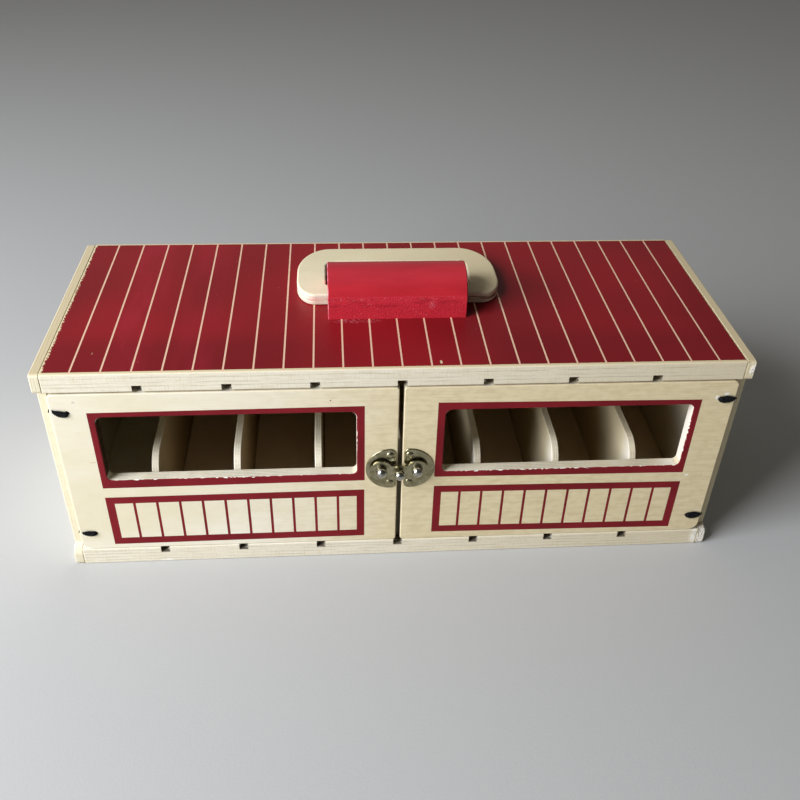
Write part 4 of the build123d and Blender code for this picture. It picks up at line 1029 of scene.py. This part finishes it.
def domed_plate(side, dome):
    """Half-moon plate: rings of its own outline, shrunk towards the centre; a flat rim with a
    rounded edge, a shallow step behind it and a dome that rises with the square root of the way
    in; the last two rings are its side and its flat back."""
    angles = np.linspace(0, 2 * np.pi, PLATE_COLUMNS, endpoint=False)
    reach = moon_reach(angles)
    centre_z = (PLATE_LOW[2] + PLATE_HIGH[2]) / 2
    rim = PLATE_HIGH[1] - PLATE_LOW[1]
    inset = np.array(PLATE_RINGS)
    rise = rim - PLATE_STEP + dome * np.sqrt(ramp(inset, PLATE_RIM_W, PLATE_DOME_TOP))
    rise = np.where(inset < PLATE_RIM_W, rim, rise)
    rounded = rim - PLATE_EDGE_DROP * (1 - inset / PLATE_EDGE_W) ** 2
    rise = np.where(inset < PLATE_EDGE_W, rounded, rise)
    scale = np.clip(1 - inset[:, None] / reach, 0, 1)
    scale[0] = 0
    scale = np.vstack([scale, np.ones((1, PLATE_COLUMNS)), np.zeros((1, PLATE_COLUMNS))])
    rise = np.concatenate([rise, [0.0, 0.0]])
    x = side * (PLATE_CENTRE + scale * reach * np.cos(angles))
    z = centre_z + scale * reach * np.sin(angles)
    y = np.broadcast_to((PLATE_HIGH[1] - rise)[:, None], x.shape)
    return np.stack([x, y, z], axis=-1)


class STABLE_OT_clasp(bpy.types.Operator):
    """Domed clasp plates, and nickelled brass on the arm, rivets, knob and nails"""
    bl_idname = "stable.clasp"
    bl_label = "Swing clasp"

    def execute(self, context):
        colours, sizes = context.scene.stable_colours, context.scene.stable_sizes
        satin = stamped_nickel("stamped_nickelled_brass", colours.nickel, colours.nickel_olive, 0.2)
        bright = stamped_nickel("polished_nickel", colours.polished, colours.polished_dull, 0.17)
        dress(["clasp_arm", "clasp_nails_left", "clasp_nails_right"], satin)
        dress(["clasp_pivot", "catch_post", "clasp_knob"], bright)
        for side, name in ((-1, "left"), (1, "right")):
            plate = piece(f"domed_plate_{name}", [domed_plate(side, sizes.plate_dome / MM)], satin)
            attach(plate, f"{name}_door")
            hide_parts(f"clasp_plate_{name}")
        return {"FINISHED"}


def hinge_braid(side, height, width, leaf):
    """The cord from knot to knot: round in its two holes, a pointed leaf where it lies on the
    door, curved along its length by a square and a sine and ragged in its outline by three sine
    waves, and a thin strip, sunk in the left door's edge, where it dives beside the end wall."""
    x, y = blended_line(CORD_ROUTE, 320).T
    start, stop, lift, middle, share, sink = leaf
    along = ramp(x, start, stop)
    on_face = ramp(y, *ON_FACE_Y)
    rise = (lift * along**2 + middle * np.sin(np.pi * along)) * on_face
    y = y + sink * ramp(x, stop - 0.5, stop + 0.2) * on_face
    line = np.stack([x, y, height + rise], axis=1)
    ragged = np.sin(7.1 * x) + np.sin(11.3 * x + height) + np.sin(17.9 * x)
    leaf_half = (width * share / 2 - STRIP_HALF_W) * np.sin(np.pi * along) ** 0.7 * (1 + 0.1 * ragged)
    wide = STRIP_HALF_W + leaf_half
    thick = CORD_R - (CORD_R - LEAF_HALF_T) * ramp(x, *LEAF_THINS_X)
    thick = thick - (LEAF_HALF_T - STRIP_HALF_W) * ramp(along, 0.8, 1.0)
    at_wall = ramp(y, *AT_WALL_Y) * (x > AT_WALL_X)
    wide = wide * (1 - at_wall) + CORD_R * at_wall
    thick = thick * (1 - at_wall) + CORD_R * at_wall
    upright = np.tile([0.0, 0.0, 1.0], (len(line), 1))
    grid = braid(line, upright, thick, wide, BRAID_STRANDS, BRAID_LAY)
    return grid * [side, 1, 1]


class STABLE_OT_hinge_cords(bpy.types.Operator):
    """Four braided hinge cords with a knot at each end"""
    bl_idname = "stable.hinge_cords"
    bl_label = "Hinge cords"

    def execute(self, context):
        colours, sizes = context.scene.stable_colours, context.scene.stable_sizes
        material = braided_polyester(colours)
        for side, name in ((-1, "left"), (1, "right")):
            for level in ("top", "bottom"):
                low, high = box_mm(f"hinge_cord_{name}_{level}")
                height = (low[2] + high[2]) / 2
                cord = hinge_braid(side, height, sizes.cord_width / MM, LEAVES[name, level])
                cord = piece(f"hinge_braid_{name}_{level}", [cord], material)
                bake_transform(cord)
                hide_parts(f"hinge_cord_{name}_{level}")
                inner = overhand_knot(np.array([side * CORD_X, DOOR_KNOT_Y, height]), 1, *KNOT)
                outer = overhand_knot(np.array([side * WALL_KNOT_X, CORD_WALL_Y, height]), 0, *KNOT)
                inner = piece(f"door_knot_{name}_{level}", [inner], material)
                outer = piece(f"wall_knot_{name}_{level}", [outer], material)
                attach(inner, f"{name}_door")
                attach(outer, "box")
        return {"FINISHED"}


def notch_fibres(length):
    """Roots, directions and lengths of the fibres at the groove ends: most on each notch's right
    corner and along the base board, scattered along its side and a little way into it."""
    rng = np.random.default_rng(NOTCH_SEED)
    roots, aims = [], []
    for k in range(-3, 4):
        for edge, count, way in NOTCH_FIBRES:
            right = rng.random(count) < NOTCH_RIGHT_SHARE
            x = k * STALL_PITCH + np.where(right, GROOVE_W / 2, -GROOVE_W / 2)
            x = x + rng.normal(0, NOTCH_SCATTER, count)
            up = rng.uniform(0, NOTCH_REACH, count) * way
            y = ROOF_LOW[1] + rng.uniform(*NOTCH_INSET, count)
            roots.append(np.stack([x, y, edge + up], axis=1))
            aims.append(np.stack([np.where(right, -1.0, 1.0), rng.uniform(-0.15, 0.3, count),
                                  rng.normal(0, 0.5, count)], axis=1))
    roots, aims = np.concatenate(roots), np.concatenate(aims)
    return roots, aims, length * rng.uniform(0.4, 1.2, len(roots))


def splinter_patch(length, low, high, aim, count, share, seed):
    """Roots spread evenly through a small box, all aimed about one way, in mixed lengths about a
    share of the given length."""
    rng = np.random.default_rng(seed)
    roots = rng.uniform(low, high, (count, 3))
    aims = np.tile(np.array(aim, float), (count, 1))
    return roots, aims, share * length * rng.uniform(0.4, 1.3, count)


class STABLE_OT_torn_edges(bpy.types.Operator):
    """Split fibres at the groove ends, at the broken lobe and beside a hinge cord's hole"""
    bl_idname = "stable.torn_edges"
    bl_label = "Torn edges"

    def execute(self, context):
        colours, sizes = context.scene.stable_colours, context.scene.stable_sizes
        material = torn_wood_fibre(colours)
        length = sizes.fibre_length / MM
        for name, patch, body in (
            ("notch_fibres", notch_fibres(length), "box"),
            ("broken_lobe_fibres", splinter_patch(length, *LOBE_SPLINTERS), "box"),
            ("cord_hole_fibres", splinter_patch(length, *HOLE_SPLINTERS), "right_door"),
        ):
            made = piece(name, fibres(*patch, FIBRE_SEED), material)
            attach(made, body)
        return {"FINISHED"}


def lay_floor(scene, colours):
    """A square floor of one face at height 0."""
    half = scene.stable_sizes.floor_size / 2
    mesh = bpy.data.meshes.new("floor")
    corners = half * np.array([[-1, -1, 0], [1, -1, 0], [1, 1, 0], [-1, 1, 0]], float)
    mesh.from_pydata(corners, [], [[0, 1, 2, 3]])
    mesh.materials.append(studio_floor(colours))
    floor = bpy.data.objects.new("floor", mesh)
    scene.collection.objects.link(floor)


def light_room(scene, colours):
    """World light whose strength is the product of three straight fades over the direction: from
    left to right, from front to back and upwards."""
    world = bpy.data.worlds.new("studio")
    world.use_nodes = True
    tree = world.node_tree
    tree.nodes.clear()
    way = add(tree, "TexCoord", out="Generated")
    fades = []
    for axis, (start, stop, first, last) in enumerate(SKY_FADES):
        along = add(tree, "SeparateXYZ", {0: way}, out=axis)
        fades.append(add(tree, "MapRange", {"Value": along, "From Min": start, "From Max": stop,
                                            "To Min": first, "To Max": last}))
    glow = add(tree, "Background", {"Color": colours.sky, "Strength": overlap(tree, *fades)})
    add(tree, "OutputWorld", {"Surface": glow})
    scene.world = world


def hang_lamp(scene, colours):
    """A rectangular lamp like a window, turned from its place towards its aim."""
    lamp = bpy.data.lights.new("window_light", "AREA")
    lamp.shape = "RECTANGLE"
    lamp.size, lamp.size_y = LAMP_SIZE
    lamp.energy = LAMP_POWER
    lamp.color = colours.lamp[:3]
    light = bpy.data.objects.new("window_light", lamp)
    light.location = LAMP_PLACE
    aim = LAMP_AIM - LAMP_PLACE
    tilt = math.atan2(math.hypot(aim[0], aim[1]), -aim[2])
    light.rotation_euler = (tilt, 0.0, math.atan2(aim[1], aim[0]) - math.pi / 2)
    scene.collection.objects.link(light)


def place_camera(scene):
    """A camera above the front, a little to the left."""
    lens = bpy.data.cameras.new("camera")
    lens.lens, lens.sensor_width = CAMERA_LENS_MM, CAMERA_SENSOR_MM
    lens.clip_start, lens.clip_end = CAMERA_NEAR, CAMERA_FAR
    camera = bpy.data.objects.new("camera", lens)
    camera.location = CAMERA_PLACE
    camera.rotation_euler = [math.radians(angle) for angle in CAMERA_TURN]
    scene.collection.objects.link(camera)
    scene.camera = camera


class STABLE_OT_stage(bpy.types.Operator):
    """Floor, soft daylight from the left and the camera"""
    bl_idname = "stable.stage"
    bl_label = "Stage"

    def execute(self, context):
        scene, colours = context.scene, context.scene.stable_colours
        lay_floor(scene, colours)
        light_room(scene, colours)
        hang_lamp(scene, colours)
        place_camera(scene)
        scene.view_settings.view_transform = "Standard"
        return {"FINISHED"}


STEPS = (
    STABLE_OT_carcass, STABLE_OT_joints, STABLE_OT_doors, STABLE_OT_handle, STABLE_OT_clasp,
    STABLE_OT_hinge_cords, STABLE_OT_torn_edges, STABLE_OT_stage,
)


class STABLE_PT_panel(bpy.types.Panel):
    """Lists the steps in the sidebar"""
    bl_label = "Toy stable box"
    bl_space_type = "VIEW_3D"
    bl_region_type = "UI"
    bl_category = "Stable box"

    def draw(self, context):
        for step in STEPS:
            self.layout.operator(step.bl_idname)
        for group in (context.scene.stable_sizes, context.scene.stable_colours):
            for name in group.__annotations__:
                self.layout.prop(group, name)


CLASSES = (StableSizes, StableColours, *STEPS, STABLE_PT_panel)


def register():
    """Register the settings, operators and panel."""
    for each in CLASSES:
        bpy.utils.register_class(each)
    bpy.types.Scene.stable_sizes = bpy.props.PointerProperty(type=StableSizes)
    bpy.types.Scene.stable_colours = bpy.props.PointerProperty(type=StableColours)


def unregister():
    """Undo register, last class first."""
    del bpy.types.Scene.stable_colours
    del bpy.types.Scene.stable_sizes
    for each in reversed(CLASSES):
        bpy.utils.unregister_class(each)


def main():
    """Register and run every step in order."""
    register()
    bpy.ops.stable.carcass()
    bpy.ops.stable.joints()
    bpy.ops.stable.doors()
    bpy.ops.stable.handle()
    bpy.ops.stable.clasp()
    bpy.ops.stable.hinge_cords()
    bpy.ops.stable.torn_edges()
    bpy.ops.stable.stage()


if __name__ == "__main__":
    main()
